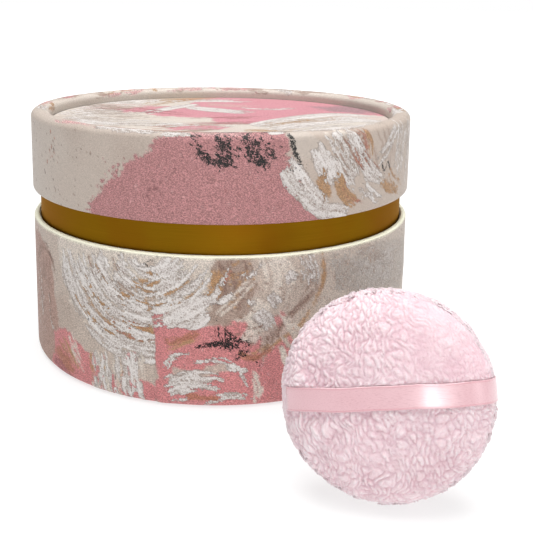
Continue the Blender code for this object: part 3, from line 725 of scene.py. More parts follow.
def paint_lid_top():
    """The sunk top of the lid, in x and y."""
    paper = Paper((-58.0, 58.0), (-58.0, 58.0), PAINT_CELL, CREAM, 37)
    wash(paper, GREIGE, 40, 16, 3, 0.45, 0.75, 0.7)
    wash(paper, TAUPE, 30, 8, 9, 0.62, 0.9, 0.5)
    paper.patch([(-38, 14), (-30, 24), (-14, 30), (-12, 40), (-20, 50), (-4, 60), (60, 60), (60, -6), (40, 2),
                 (24, -6), (14, -18), (2, -14), (-6, -4), (-22, -2)], TOP_PINK, 2.4, 1.0, 0.6, 6.0)
    paper.patch([(-30, 40), (-14, 42), (-4, 58), (-30, 58)], OCHRE, 3.0, 0.6, 1.5, 6.0)
    paper.patch([(32, 30), (36, 18), (48, 13), (60, 16), (58, 34), (44, 36)], MAUVE, 3.0, 0.85, 3.5, 4.0)
    paper.dots((45, 25), (26, 18), 120, 0.42, UMBER, 0.8)
    for mark in (
        ([(-56, 14), (-44, 6), (-26, 2)], 22, 34, 1.8, "white", 0.55, 0.8),
        ([(-54, 26), (-40, 30), (-22, 26)], 18, 26, 1.8, "white", 0.55, 0.8),
        ([(-52, -6), (-36, -16), (-14, -22)], 16, 26, 2.0, "white", 0.55, 0.8),
        ([(-54, 10), (-40, -4), (-20, -16)], 20, 18, 1.2, TAUPE, 0.62, 0.3, 0.7),
        ([(-46, 34), (-34, 24), (-18, 14)], 14, 14, 1.3, TAUPE, 0.62, 0.3, 0.7),
        ([(-54, -12), (-38, -4), (-20, 2)], 20, 16, 1.2, UMBER, 0.6, 0.4, 0.6),
        ([(-52, 20), (-38, 22), (-22, 16)], 16, 14, 1.4, BLUSH, 0.55, 0.4, 0.8),
        ([(-52, 4), (-38, 12), (-24, 24)], 16, 16, 1.2, TAUPE, 0.55, 0.4, 0.8),
        ([(-54, 30), (-44, 20), (-34, 16)], 12, 12, 1.0, UMBER, 0.5, 0.4, 0.9),
        ([(-50, 8), (-40, 12), (-26, 12)], 12, 12, 0.9, UMBER, 0.55, 0.4, 0.8),
        ([(-40, 38), (-26, 44), (-10, 50)], 12, 14, 1.8, "white", 0.5, 0.8),
        ([(-36, 10), (-28, 14), (-18, 12)], 10, 12, 1.8, TOP_PINK, 0.45, 0.4),
        ([(-28, 4), (-20, 20), (-12, 34)], 5, 22, 2.0, "white", 0.42, 1.0),
        ([(-14, 24), (-2, 16), (10, 11)], 8, 28, 2.0, "white", 0.44, 1.0),
        ([(-22, 40), (-8, 46), (10, 46)], 9, 22, 1.8, "white", 0.48, 0.9),
        ([(4, 26), (16, 22), (26, 24)], 6, 12, 1.4, "white", 0.55, 0.8),
        ([(-10, -8), (4, -2), (16, 2)], 7, 12, 1.2, DEEP_ROSE, 0.55, 0.4, 0.8),
        ([(-8, 34), (4, 30), (16, 32)], 6, 14, 1.4, BLUSH, 0.5, 0.4),
        ([(-34, 16), (-24, 10), (-10, 2)], 8, 16, 1.6, DEEP_ROSE, 0.55, 0.3, 0.7),
        ([(-30, 30), (-20, 44), (-8, 52)], 8, 14, 1.6, OCHRE, 0.5, 0.3),
        ([(-20, -22), (-6, -24), (8, -22)], 12, 30, 2.0, "white", 0.46, 0.9),
    ):
        paper.bundle(*mark)

    # mottled strokes just inside the rim at the front
    for mark in (
        ([(-16, -30), (-4, -26), (8, -30)], 7, 22, 1.4, TOP_PINK, 0.45, 0.3),
        ([(-12, -34), (0, -30), (10, -34)], 5, 14, 1.0, TAUPE, 0.48, 0.3),
        ([(-22, -28), (-8, -22), (4, -24)], 6, 12, 0.9, RUST, 0.55, 0.3),
        ([(-34, -26), (-22, -22), (-12, -26)], 8, 12, 1.0, UMBER, 0.58, 0.3, 0.8),
        ([(-12, -18), (2, -16), (16, -12)], 7, 20, 1.3, DEEP_ROSE, 0.55, 0.3, 0.7),
    ):
        paper.bundle(*mark)

    # the petal along the front right
    paper.patch([(8, -22), (16, -8), (26, 2), (38, 12), (50, 12), (60, 4), (60, -40), (0, -58), (-6, -36)],
                CREAM, 2.0, 0.85, 1.0, 5.0)
    for mark in (
        ([(10, -20), (22, -4), (38, 10), (54, 6)], 7, 50, 2.0, "white", 0.42, 1.0),
        ([(14, -26), (28, -12), (44, -2), (56, -8)], 12, 44, 2.0, "white", 0.46, 1.0),
        ([(12, -22), (26, -8), (42, 3)], 8, 14, 1.2, OCHRE, 0.55, 0.3),
        ([(20, -34), (34, -20), (48, -14)], 14, 26, 1.6, "white", 0.48, 1.0),
        ([(8, -30), (20, -30), (34, -32)], 12, 16, 1.3, OCHRE, 0.58, 0.3),
        ([(-4, -40), (8, -46), (22, -46)], 14, 26, 1.6, ROSE, 0.5, 0.3),
        ([(-26, -42), (-10, -46), (6, -52)], 12, 22, 1.8, "white", 0.5, 0.8),
    ):
        paper.bundle(*mark)
    paper.ticks((-2, -50), (7, 4), 60, 1.2, 0.3, "ink", -0.9, 0.9)
    return paper


# ---------------------------------------------------------------- meshes


def grid_quads(rows, columns, wrap_first=False):
    """The quads of a grid of points, joined round its first direction where it wraps."""
    i = np.arange(rows if wrap_first else rows - 1)[:, None]
    j = np.arange(columns - 1)[None, :]
    here, following = i * columns + j, (i + 1) % rows * columns + j
    return np.stack([here, following, following + 1, here + 1], -1).reshape(-1, 4)


def grid_mesh(name, points, wrap_first=False):
    """A mesh of quads from a grid of points."""
    return fast_mesh(name, points.reshape(-1, 3), grid_quads(*points.shape[:2], wrap_first))


def fast_mesh(name, points, quads, triangles=None):
    """A smooth-shaded mesh from points in millimetres and arrays of corner numbers."""
    mesh = bpy.data.meshes.new(name)
    sizes = [4] * len(quads)
    corners = quads.ravel()
    if triangles is not None:
        sizes += [3] * len(triangles)
        corners = np.concatenate([corners, triangles.ravel()])
    starts = np.concatenate([[0], np.cumsum(sizes)[:-1]])
    mesh.vertices.add(len(points))
    mesh.vertices.foreach_set("co", (points * MM).astype(np.float32).ravel())
    mesh.loops.add(len(corners))
    mesh.loops.foreach_set("vertex_index", corners.astype(np.int32))
    mesh.polygons.add(len(sizes))
    mesh.polygons.foreach_set("loop_start", starts.astype(np.int32))
    mesh.update(calc_edges=True)
    mesh.validate()
    mesh.shade_smooth()
    return mesh


def add_object(name, data):
    """An object linked into the scene."""
    item = bpy.data.objects.new(name, data)
    bpy.context.scene.collection.objects.link(item)
    return item


def add_piece(name, mesh, material, body, node):
    """Shows a mesh in place of a CAD node and lets it move with the node's body."""
    item = add_object(name, mesh)
    mesh.materials.append(material)
    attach(item, body)
    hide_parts(node)
    return item


def set_values(mesh, name, values):
    """One number on every vertex."""
    layer = mesh.attributes.new(name, "FLOAT", "POINT")
    layer.data.foreach_set("value", values.astype(np.float32).ravel())


def set_print(mesh, paper, u, v):
    """Ground colour, and the cover of white, of ink and the tone in one more colour, on every vertex."""
    color = paper.sample(paper.color, u, v)
    paint = np.stack([paper.sample(field, u, v) for field in (paper.white, paper.ink, paper.tone)], -1)
    count = len(mesh.vertices)
    for name, values in (("ground", color), ("paint", paint)):
        layer = mesh.color_attributes.new(name, "FLOAT_COLOR", "POINT")
        rgba = np.ones((count, 4), np.float32)
        rgba[:, :3] = values.reshape(-1, 3)
        layer.data.foreach_set("color", rgba.ravel())


def even_profile(corners, step):
    """A profile of (r, z) with points at even steps, kept sharp at its corners."""
    points = []
    for (r0, z0), (r1, z1) in zip(corners[:-1], corners[1:]):
        steps = max(1, int(round(math.hypot(r1 - r0, z1 - z0) / step)))
        for k in range(steps):
            points.append((r0 + (r1 - r0) * k / steps, z0 + (z1 - z0) * k / steps))
    points.append(corners[-1])
    return np.array(points)


def quarter_arc(centre_r, centre_z, radius_r, radius_z, start, end):
    """Nine profile points on a quarter of an ellipse."""
    angles = np.linspace(start, end, 9)
    return [(centre_r + radius_r * math.cos(a), centre_z + radius_z * math.sin(a)) for a in angles]


def print_heights(profile, r, z):
    """The v of each profile point: its height at (r, z), and from there on the way along the profile."""
    lengths = lengths_along(profile)
    start = int(np.argmin(np.abs(profile[:, 1] - z) + np.abs(profile[:, 0] - r)))
    return z + lengths[start] - lengths


def profile_normals(profile):
    """The direction across a profile at each of its points."""
    ahead = np.gradient(profile, axis=0)
    normals = np.stack([-ahead[:, 1], ahead[:, 0]], 1)
    return normals / np.linalg.norm(normals, axis=1)[:, None]


def turned(r, z, angles):
    """Places on a profile turned about Z. At angle 0 they face the front."""
    return np.stack([r * np.sin(angles)[:, None], -r * np.cos(angles)[:, None], z], -1)


def wrapped_paper(name, profile, heights, around, radius, paper, relief_scale):
    """Turns a profile about Z, with the print on it and its relief as real shape."""
    angles = np.linspace(-math.pi, math.pi, around, endpoint=False)
    u = np.repeat(angles[:, None] * radius, len(profile), 1)
    v = np.repeat(heights[None, :], around, 0)
    normals = profile_normals(profile)
    relief = paper.sample(paper.relief, u, v)
    fine = paper.cloud(u, v, 1.1, 0.8, 71, 2) - 0.5
    lift = relief_scale * relief + 0.05 * fine
    r = profile[None, :, 0] + lift * normals[None, :, 0]
    z = np.maximum(profile[None, :, 1] + lift * normals[None, :, 1], 0.0)
    mesh = grid_mesh(name, turned(r, z, angles), True)
    set_print(mesh, paper, u, v)
    return mesh


def disc_points(count):
    """A square grid of places carried to a round disc of radius 1 with nearly even cells."""
    side = np.linspace(-1, 1, count)
    a, b = np.meshgrid(side, side, indexing="ij")
    wide = np.abs(a) > np.abs(b)
    radius = np.where(wide, a, b)
    safe_a = np.where(np.abs(a) < 1e-9, 1e-9, a)
    safe_b = np.where(np.abs(b) < 1e-9, 1e-9, b)
    angle = np.where(wide, math.pi / 4 * b / safe_a, math.pi / 2 - math.pi / 4 * a / safe_b)
    return radius * np.cos(angle), radius * np.sin(angle)


# ---------------------------------------------------------------- materials


class Look:
    """A node material under construction, with its shader and coordinates in millimetres."""

    def __init__(self, name, roughness, metallic, specular):
        self.material = bpy.data.materials.new(name)
        self.material.use_nodes = True
        self.tree = self.material.node_tree
        self.shader = self.tree.nodes["Principled BSDF"]
        self.shader.inputs["Roughness"].default_value = roughness
        self.shader.inputs["Metallic"].default_value = metallic
        self.shader.inputs["Specular IOR Level"].default_value = specular
        place = self.tree.nodes.new("ShaderNodeTexCoord").outputs["Object"]
        self.place = self.node("ShaderNodeVectorMath", {0: place, 1: (1000.0, 1000.0, 1000.0)},
                               operation="MULTIPLY").outputs[0]

    def node(self, kind, inputs=None, **settings):
        """A node with these input values or links, and these settings."""
        made = self.tree.nodes.new(kind)
        for key, value in settings.items():
            setattr(made, key, value)
        for key, value in (inputs or {}).items():
            self.put(made.inputs[key], value)
        return made

    def put(self, socket, value):
        """Gives a socket a link, a colour or a plain value."""
        if isinstance(value, bpy.types.NodeSocket):
            self.tree.links.new(value, socket)
        elif isinstance(value, np.ndarray):
            socket.default_value = (*[float(x) for x in value], 1.0)
        else:
            socket.default_value = value

    def math(self, operation, a, b=0.0):
        return self.node("ShaderNodeMath", {0: a, 1: b}, operation=operation).outputs[0]

    def noise(self, scale, detail=2.0, roughness=0.5, stretch=None):
        place = self.place
        if stretch:
            place = self.node("ShaderNodeVectorMath", {0: place, 1: stretch}, operation="MULTIPLY").outputs[0]
        inputs = {"Vector": place, "Scale": scale, "Detail": detail, "Roughness": roughness}
        return self.node("ShaderNodeTexNoise", inputs).outputs["Fac"]

    def ramp(self, value, low, high, to_low=0.0, to_high=1.0):
        return self.node("ShaderNodeMapRange", {0: value, 1: low, 2: high, 3: to_low, 4: to_high},
                         interpolation_type="SMOOTHSTEP").outputs[0]

    def mix(self, share, a, b):
        made = self.node("ShaderNodeMix", data_type="RGBA")
        self.put(made.inputs["Factor"], share)
        self.put(made.inputs[6], a)
        self.put(made.inputs[7], b)
        return made.outputs[2]

    def bump(self, height, distance, strength=1.0):
        inputs = {"Height": height, "Distance": distance * MM, "Strength": strength}
        return self.node("ShaderNodeBump", inputs).outputs[0]

    def attribute(self, name, output="Fac"):
        return self.node("ShaderNodeAttribute", attribute_name=name).outputs[output]

    def finish(self, color, roughness=None, normal=None):
        self.put(self.shader.inputs["Base Color"], color)
        if roughness is not None:
            self.put(self.shader.inputs["Roughness"], roughness)
        if normal is not None:
            self.put(self.shader.inputs["Normal"], normal)
        return self.material


def print_material(name, painted_pebble_shading, plain_share, specular=0.5, thin=0.25, gain=1.0):
    """Painted, lightly pebbled paper whose thick white paint breaks up at its edges.

    The pebbled emboss is painted into the colour as light and shade, lighter on its tops and darker in its
    pits: full on pink paint, plain_share of that on beige, and none on the pale lip.
    White paint below the tone called thin is as dull as beige; that greyer white is partly thinner paint and
    partly painted shade at the stroke edges and in the valleys between bristle ridges. gain brightens the
    thick white, which on the base is painted light.
    """
    look = Look(name, 0.55, 0.0, specular)
    ground = look.attribute("ground", "Color")
    paint = look.attribute("paint", "Color")
    parts = look.node("ShaderNodeSeparateColor", {0: paint})
    white, ink, tone = parts.outputs[0], parts.outputs[1], parts.outputs[2]
    grit = look.noise(2.7, 3.0, 0.7)
    pebble = look.noise(2.5, 2.0, 0.65, (1.0, 1.0, 1.6))
    dashes = look.noise(3.4, 2.0, 0.6)
    grit_shift = look.math("MULTIPLY", look.math("SUBTRACT", grit, 0.5), 1.9)
    white_cover = look.ramp(look.math("ADD", white, grit_shift), 0.42, 0.62)
    ink_shift = look.math("MULTIPLY", look.math("SUBTRACT", dashes, 0.5), 2.6)
    ink_cover = look.ramp(look.math("ADD", ink, ink_shift), 0.5, 0.57)
    hues = look.node("ShaderNodeSeparateColor", {0: ground})
    pinkness = look.math("SUBTRACT", hues.outputs[0], hues.outputs[1])
    calm = look.ramp(hues.outputs[1], 0.66, 0.8, 1.0, 0.0)
    # painted light and shade of the pebbled emboss: the ground colour is scaled up on the pebble tops and
    # down in its pits, besides the real bump below
    pebble_shading_amount = look.math("MULTIPLY", look.ramp(pinkness, 0.09, 0.16, plain_share * painted_pebble_shading, painted_pebble_shading), calm)
    pebble_shading_swing = look.ramp(pebble, 0.36, 0.68, -0.85, 1.25)
    light = look.math("ADD", look.math("MULTIPLY", pebble_shading_swing, pebble_shading_amount), 1.0)
    ground_with_pebble_shading = look.node("ShaderNodeVectorMath", {0: ground, "Scale": light}, operation="SCALE").outputs[0]
    # greyer white where the tone is low: partly thinner paint, partly painted shade at the edges and in the
    # valleys of the raised paint
    body = look.math("ADD", tone, grit_shift)
    cream = look.mix(look.ramp(body, thin, 0.9), printed(186, 166, 154), WHITE * gain)
    color = look.mix(white_cover, ground_with_pebble_shading, cream)
    color = look.mix(ink_cover, color, INK)
    pebbled = look.math("MULTIPLY", pebble, look.ramp(pinkness, 0.09, 0.16, plain_share, 1.0))
    pebbled = look.math("MULTIPLY", pebbled, calm)
    raised = look.math("ADD", pebbled, look.math("MULTIPLY", white_cover, grit))
    return look.finish(color, look.ramp(pebble, 0.3, 0.7, 0.62, 0.4), look.bump(raised, 0.4, 1.0))


def card_material():
    """Grey board with fibres and faint layers."""
    look = Look("grey_card", 0.9, 0.0, 0.2)
    fibre = look.noise(0.9, 4.0, 0.65, (1.0, 1.0, 0.35))
    layers = look.noise(0.5, 2.0, 0.5, (0.15, 0.15, 14.0))
    color = look.mix(look.ramp(fibre, 0.3, 0.7), linear(170, 156, 138), linear(196, 184, 166))
    color = look.mix(look.ramp(layers, 0.55, 0.7, 0.0, 0.35), color, linear(148, 134, 118))
    return look.finish(color, look.ramp(fibre, 0.3, 0.7, 0.82, 0.95), look.bump(fibre, 0.12))


def plain_paper_material():
    """Unprinted cream paper."""
    look = Look("cream_paper", 0.8, 0.0, 0.3)
    fibre = look.noise(1.6, 4.0, 0.6)
    broad = look.noise(0.12, 2.0, 0.5)
    color = look.mix(look.ramp(fibre, 0.35, 0.65), linear(226, 216, 200), linear(240, 232, 218))
    color = look.mix(look.ramp(broad, 0.4, 0.7, 0.0, 0.3), color, linear(222, 208, 190))
    return look.finish(color, look.ramp(fibre, 0.3, 0.7, 0.72, 0.86), look.bump(fibre, 0.06))


def gold_material():
    """Satin gold foil card with fine lines round the neck."""
    look = Look("gold_foil", 0.5, 0.85, 0.3)
    lines = look.noise(1.0, 3.0, 0.6, (0.05, 0.05, 6.0))
    cloud = look.noise(0.05, 3.0, 0.55)
    color = look.mix(look.ramp(lines, 0.3, 0.7), linear(118, 84, 8), linear(130, 94, 13))
    color = look.mix(look.ramp(cloud, 0.35, 0.7, 0.0, 0.5), color, linear(124, 76, 9))
    look.shader.inputs["Specular Tint"].default_value = (0.8, 0.5, 0.14, 1.0)
    return look.finish(color, look.ramp(lines, 0.3, 0.7, 0.42, 0.52), look.bump(lines, 0.02))


def plastic_material(name, tone):
    """Moulded plastic with a slight haze."""
    look = Look(name, 0.42, 0.0, 0.5)
    haze = look.noise(0.25, 3.0, 0.6)
    orange_peel = look.noise(2.2, 2.0, 0.5)
    color = look.mix(look.ramp(haze, 0.3, 0.7), tone * 0.96, tone)
    return look.finish(color, look.ramp(haze, 0.3, 0.7, 0.38, 0.48), look.bump(orange_peel, 0.02))


def thread_material():
    """Twisted pink thread."""
    look = Look("pink_thread", 0.7, 0.0, 0.3)
    twist = look.noise(3.0, 2.0, 0.5, (1.0, 1.0, 0.4))
    color = look.mix(look.ramp(twist, 0.35, 0.65), linear(214, 160, 168), linear(240, 196, 202))
    return look.finish(color, None, look.bump(twist, 0.08))


def stuffing_material():
    """Tangled white filling."""
    look = Look("white_stuffing", 0.95, 0.0, 0.2)
    tangle = look.noise(1.4, 5.0, 0.7)
    color = look.mix(look.ramp(tangle, 0.3, 0.7), linear(224, 216, 212), linear(246, 242, 240))
    return look.finish(color, None, look.bump(tangle, 0.5))


def plush_material():
    """Soft pile: a deeper rose low in the pile and nearly white pink high on it, painted shade in the grooves
    between clumps and at the roots of the locks, and painted light on their crowns and tips.
    """
    look = Look("pink_plush", 0.95, 0.0, 0.1)
    pile = look.attribute("pile")
    strand = look.noise(2.2, 3.0, 0.65)
    broad = look.noise(0.11, 2.0, 0.5)
    height = look.math("ADD", pile, look.math("MULTIPLY", look.math("SUBTRACT", strand, 0.5), 0.5))
    color = look.mix(look.ramp(height, 0.1, 0.75), linear(215, 180, 189), linear(230, 209, 213))
    color = look.mix(look.ramp(height, 0.6, 1.0), color, linear(238, 224, 227))
    color = look.mix(look.ramp(broad, 0.4, 0.7, 0.0, 0.35), color, linear(230, 206, 212))
    look.shader.inputs["Subsurface Weight"].default_value = 0.3
    look.shader.inputs["Subsurface Radius"].default_value = (0.0022, 0.0016, 0.0015)
    look.shader.inputs["Subsurface Scale"].default_value = 1.0
    look.shader.inputs["Sheen Weight"].default_value = 0.3
    look.shader.inputs["Sheen Roughness"].default_value = 0.6
    return look.finish(color, None, look.bump(strand, 0.25, 0.7))


def satin_material():
    """Woven satin ribbon: fine warp lines along it, a smooth sheen and stitched hems."""
    look = Look("pink_satin", 0.3, 0.0, 0.8)
    hem = look.attribute("hem")
    warp = look.noise(1.0, 3.0, 0.6, (0.08, 7.0, 7.0))
    broad = look.noise(0.12, 2.0, 0.5)
    color = look.mix(look.ramp(warp, 0.3, 0.7), linear(212, 167, 174), linear(219, 177, 183))
    color = look.mix(look.ramp(broad, 0.35, 0.7, 0.0, 0.5), color, linear(221, 181, 187))
    color = look.mix(look.math("MULTIPLY", hem, 0.8), color, linear(208, 146, 156))
    look.shader.inputs["Coat Weight"].default_value = 1.0
    look.shader.inputs["Coat Roughness"].default_value = 0.28
    return look.finish(color, look.ramp(warp, 0.3, 0.7, 0.26, 0.34), look.bump(warp, 0.01))


# ---------------------------------------------------------------- the box


def build_lid(paper_side, paper_top, material, top_material):
    """The lid's wrap, from its lower edge over the rolled rim, and the sunk top inside the rim."""
    rim = quarter_arc(RIM_CENTRE, SHOULDER, RIM_WIDE, RIM_HIGH, math.pi, math.pi / 2)
    rim += quarter_arc(RIM_CENTRE, SHOULDER, RIM_WIDE, RIM_HIGH, math.pi / 2, 0.0)[1:]
    edge = [(LID_RADIUS, 54.15), (62.85, 53.8), (62.5, LID_EDGE), (61.6, LID_EDGE)]
    profile = even_profile([(57.0, 74.9)] + rim + edge, 0.33)
    heights = print_heights(profile, LID_RADIUS, SHOULDER)
    mesh = wrapped_paper("lid_wrap_print", profile, heights, LID_STEPS, LID_RADIUS, paper_side, 0.16)
    add_piece("lid_wrap_print", mesh, material, "lid_shell", "lid_wrap")

    x, y = (side * TOP_RADIUS for side in disc_points(TOP_GRID))
    relief = paper_top.sample(paper_top.relief, x, y)
    fine = value_noise(x / 1.1 + 200, y / 0.9 + 200, 5) - 0.5
    inside = smoothstep(TOP_RADIUS, TOP_RADIUS - 0.7, np.hypot(x, y))
    z = TOP_HEIGHT - TOP_DEEPER + inside * (0.12 * relief + 0.05 * fine)
    mesh = grid_mesh("lid_top_print", np.stack([x, y, z], -1))
    set_print(mesh, paper_top, x, y)
    add_piece("lid_top_print", mesh, top_material, "lid_shell", "lid_top_paper")


def build_base(paper, material):
    """The base's wrap, with a bevelled cream lip brightened as painted light, a seam at the front and a
    rounded foot.
    """
    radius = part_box("base_wrap")[1].x / MM
    lip = [(radius - 1.6, 44.3), (radius - 1.6, BASE_TOP), (radius - 0.75, BASE_TOP), (radius - 0.25, 44.45),
           (radius, LIP_START)]
    foot = quarter_arc(radius - FOOT, FOOT, FOOT, FOOT, 0.0, -math.pi / 2)
    profile = even_profile(lip + foot + [(radius - TURNED_UNDER, 0.0)], 0.42)
    heights = print_heights(profile, radius, LIP_START)
    gu, gv = np.meshgrid(paper.u, paper.v, indexing="ij")
    # the lip's top band is cream paper, its colour pushed to the brightest cream: painted light that makes up
    # for the shade of the lid above it
    edge = smoothstep(44.05, 44.15, gv)
    # the base's print is brightened 1.12 times: painted light, making up for the light from above that
    # reaches the lid and not the base
    paper.color = 1.12 * paper.color * (1 - edge[..., None]) + linear(255, 253, 230) * edge[..., None]
    paper.white *= 1 - edge
    paper.ink *= 1 - edge
    paper.relief *= 1 - edge
    seam = np.exp(-(((gu - SEAM) / 0.22) ** 2)) * (gv < LIP_START)
    step = smoothstep(-15.7, -15.5, gu) * smoothstep(-9.0, -14.0, gu) * (gv < LIP_START)
    paper.color *= 1 - 0.3 * seam[..., None]
    paper.relief += 0.9 * step - 0.5 * seam
    mesh = wrapped_paper("base_wrap_print", profile, heights, BASE_STEPS, radius, paper, 0.18)
    add_piece("base_wrap_print", mesh, material, "base", "base_wrap")


def build_neck_foil(material):
    """The gold sleeve of the neck, finely turned, with a soft upper edge."""
    low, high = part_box("neck_foil")
    bottom, top = low.z / MM, high.z / MM
    corners = [(NECK_INSIDE, top), (NECK_OUTSIDE - 0.08, top), (NECK_OUTSIDE, top - 0.08),
               (NECK_OUTSIDE, bottom), (NECK_INSIDE, bottom)]
    angles = np.linspace(-math.pi, math.pi, NECK_STEPS, endpoint=False)
    r, z = (np.tile(column, (len(angles), 1)) for column in even_profile(corners, 0.9).T)
    mesh = grid_mesh("neck_foil_sleeve", turned(r, z, angles), True)
    mesh.set_sharp_from_angle(angle=math.radians(60))
    add_piece("neck_foil_sleeve", mesh, material, "base", "neck_foil")


# ---------------------------------------------------------------- the puff

PUFF_RADIUS = 24.7
PUFF_FRONT = 11.0
PUFF_BACK = 10.0
PUFF_FULLNESS = 2.5
PUFF_SEAM = 0.05
PUFF_SQUASH = 0.98
PUFF_LEAN = math.radians(18.0)
PUFF_TURN = math.radians(-9.0)
RIBBON_WIDTH = 5.7
RIBBON_TILT = math.radians(7.0)
RIBBON_RISE = 0.4


def puff_matrix():
    """From the puff's own axes, with its front towards +Z, to the row's axes, in millimetres."""
    low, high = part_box("puff_filling")
    centre = (low + high) / 2 / MM
    turn = Matrix.Rotation(PUFF_TURN, 4, "Z") @ Matrix.Rotation(math.pi / 2 - PUFF_LEAN, 4, "X")
    half = (PUFF_BACK - PUFF_FRONT) / 2
    offset = turn @ Vector((0.0, 0.0, half))
    return Matrix.Translation(centre + offset) @ turn


def in_place(points, matrix):
    """Points carried by a matrix."""
    transform = np.array(matrix)
    return points @ transform[:3, :3].T + transform[:3, 3]


def dome(angle, share, depth):
    """Place and outward normal on half of the puff. share is 0 at its middle and 1 at its edge."""
    lift = (1 - share) * math.pi / 2
    power = 2.0 / PUFF_FULLNESS
    r = PUFF_RADIUS * np.cos(lift) ** power
    z = (depth - PUFF_SEAM) * np.sin(lift) ** power
    slope_r = (r / PUFF_RADIUS) ** (PUFF_FULLNESS - 1) / PUFF_RADIUS
    slope_z = (z / (depth - PUFF_SEAM)) ** (PUFF_FULLNESS - 1) / (depth - PUFF_SEAM)
    size = np.hypot(slope_r, slope_z)
    place = np.stack([r * np.cos(angle), r * np.sin(angle), z + PUFF_SEAM], -1)
    normal = np.stack([slope_r / size * np.cos(angle), slope_r / size * np.sin(angle), slope_z / size], -1)
    return place, normal


def ribbon_side(x, y):
    """Distance from the strap's middle line."""
    return np.abs(-x * math.sin(RIBBON_TILT) + y * math.cos(RIBBON_TILT) - RIBBON_RISE)


def clumps(x, y, seed):
    """Rounded cells of pile: 1 at the crown of each clump, falling to 0 in the grooves between."""
    column = np.floor(x).astype(np.int64)
    row = np.floor(y).astype(np.int64)
    first = np.full(x.shape, 9.0)
    second = np.full(x.shape, 9.0)
    for i in (-1, 0, 1):
        for j in (-1, 0, 1):
            cx = column + i + lattice(column + i, row + j, seed)
            cy = row + j + lattice(column + i, row + j, seed + 1)
            distance = np.hypot(x - cx, y - cy)
            second = np.minimum(second, np.maximum(first, distance))
            first = np.minimum(first, distance)
    return np.clip((second - first) * 1.6, 0, 1) ** 0.6


def sleekness(x, y):
    """1 at the upper right, where the pile is brushed flat, and 0 elsewhere."""
    return smoothstep(-4, 10, x) * smoothstep(1, 8, y)


def pile_height(x, y, seed):
    """Height of the brushed pile from 0 to 1, in clumps that follow the way it was combed."""
    lean = 0.25 + 0.3 * (value_noise(x / 15 + 30, y / 15 + 30, seed) - 0.5)
    lean = lean + 0.2 * smoothstep(-4, 18, x) * smoothstep(6, -8, y)
    along = -x * np.sin(lean) + y * np.cos(lean)
    across = x * np.cos(lean) + y * np.sin(lean)
    warp = 2.2 * (value_noise(x / 2.7 + 60, y / 2.7 + 60, seed + 3) - 0.5)
    coarse = clumps(across / 1.25 + warp + 100, along / 2.7 + 100, seed + 5)
    fine = clumps(across / 0.62 + warp + 200, along / 1.35 + 200, seed + 7)
    depth = 1 - 0.62 * sleekness(x, y)
    return 1 - depth * (1 - (0.66 * coarse + 0.34 * fine))


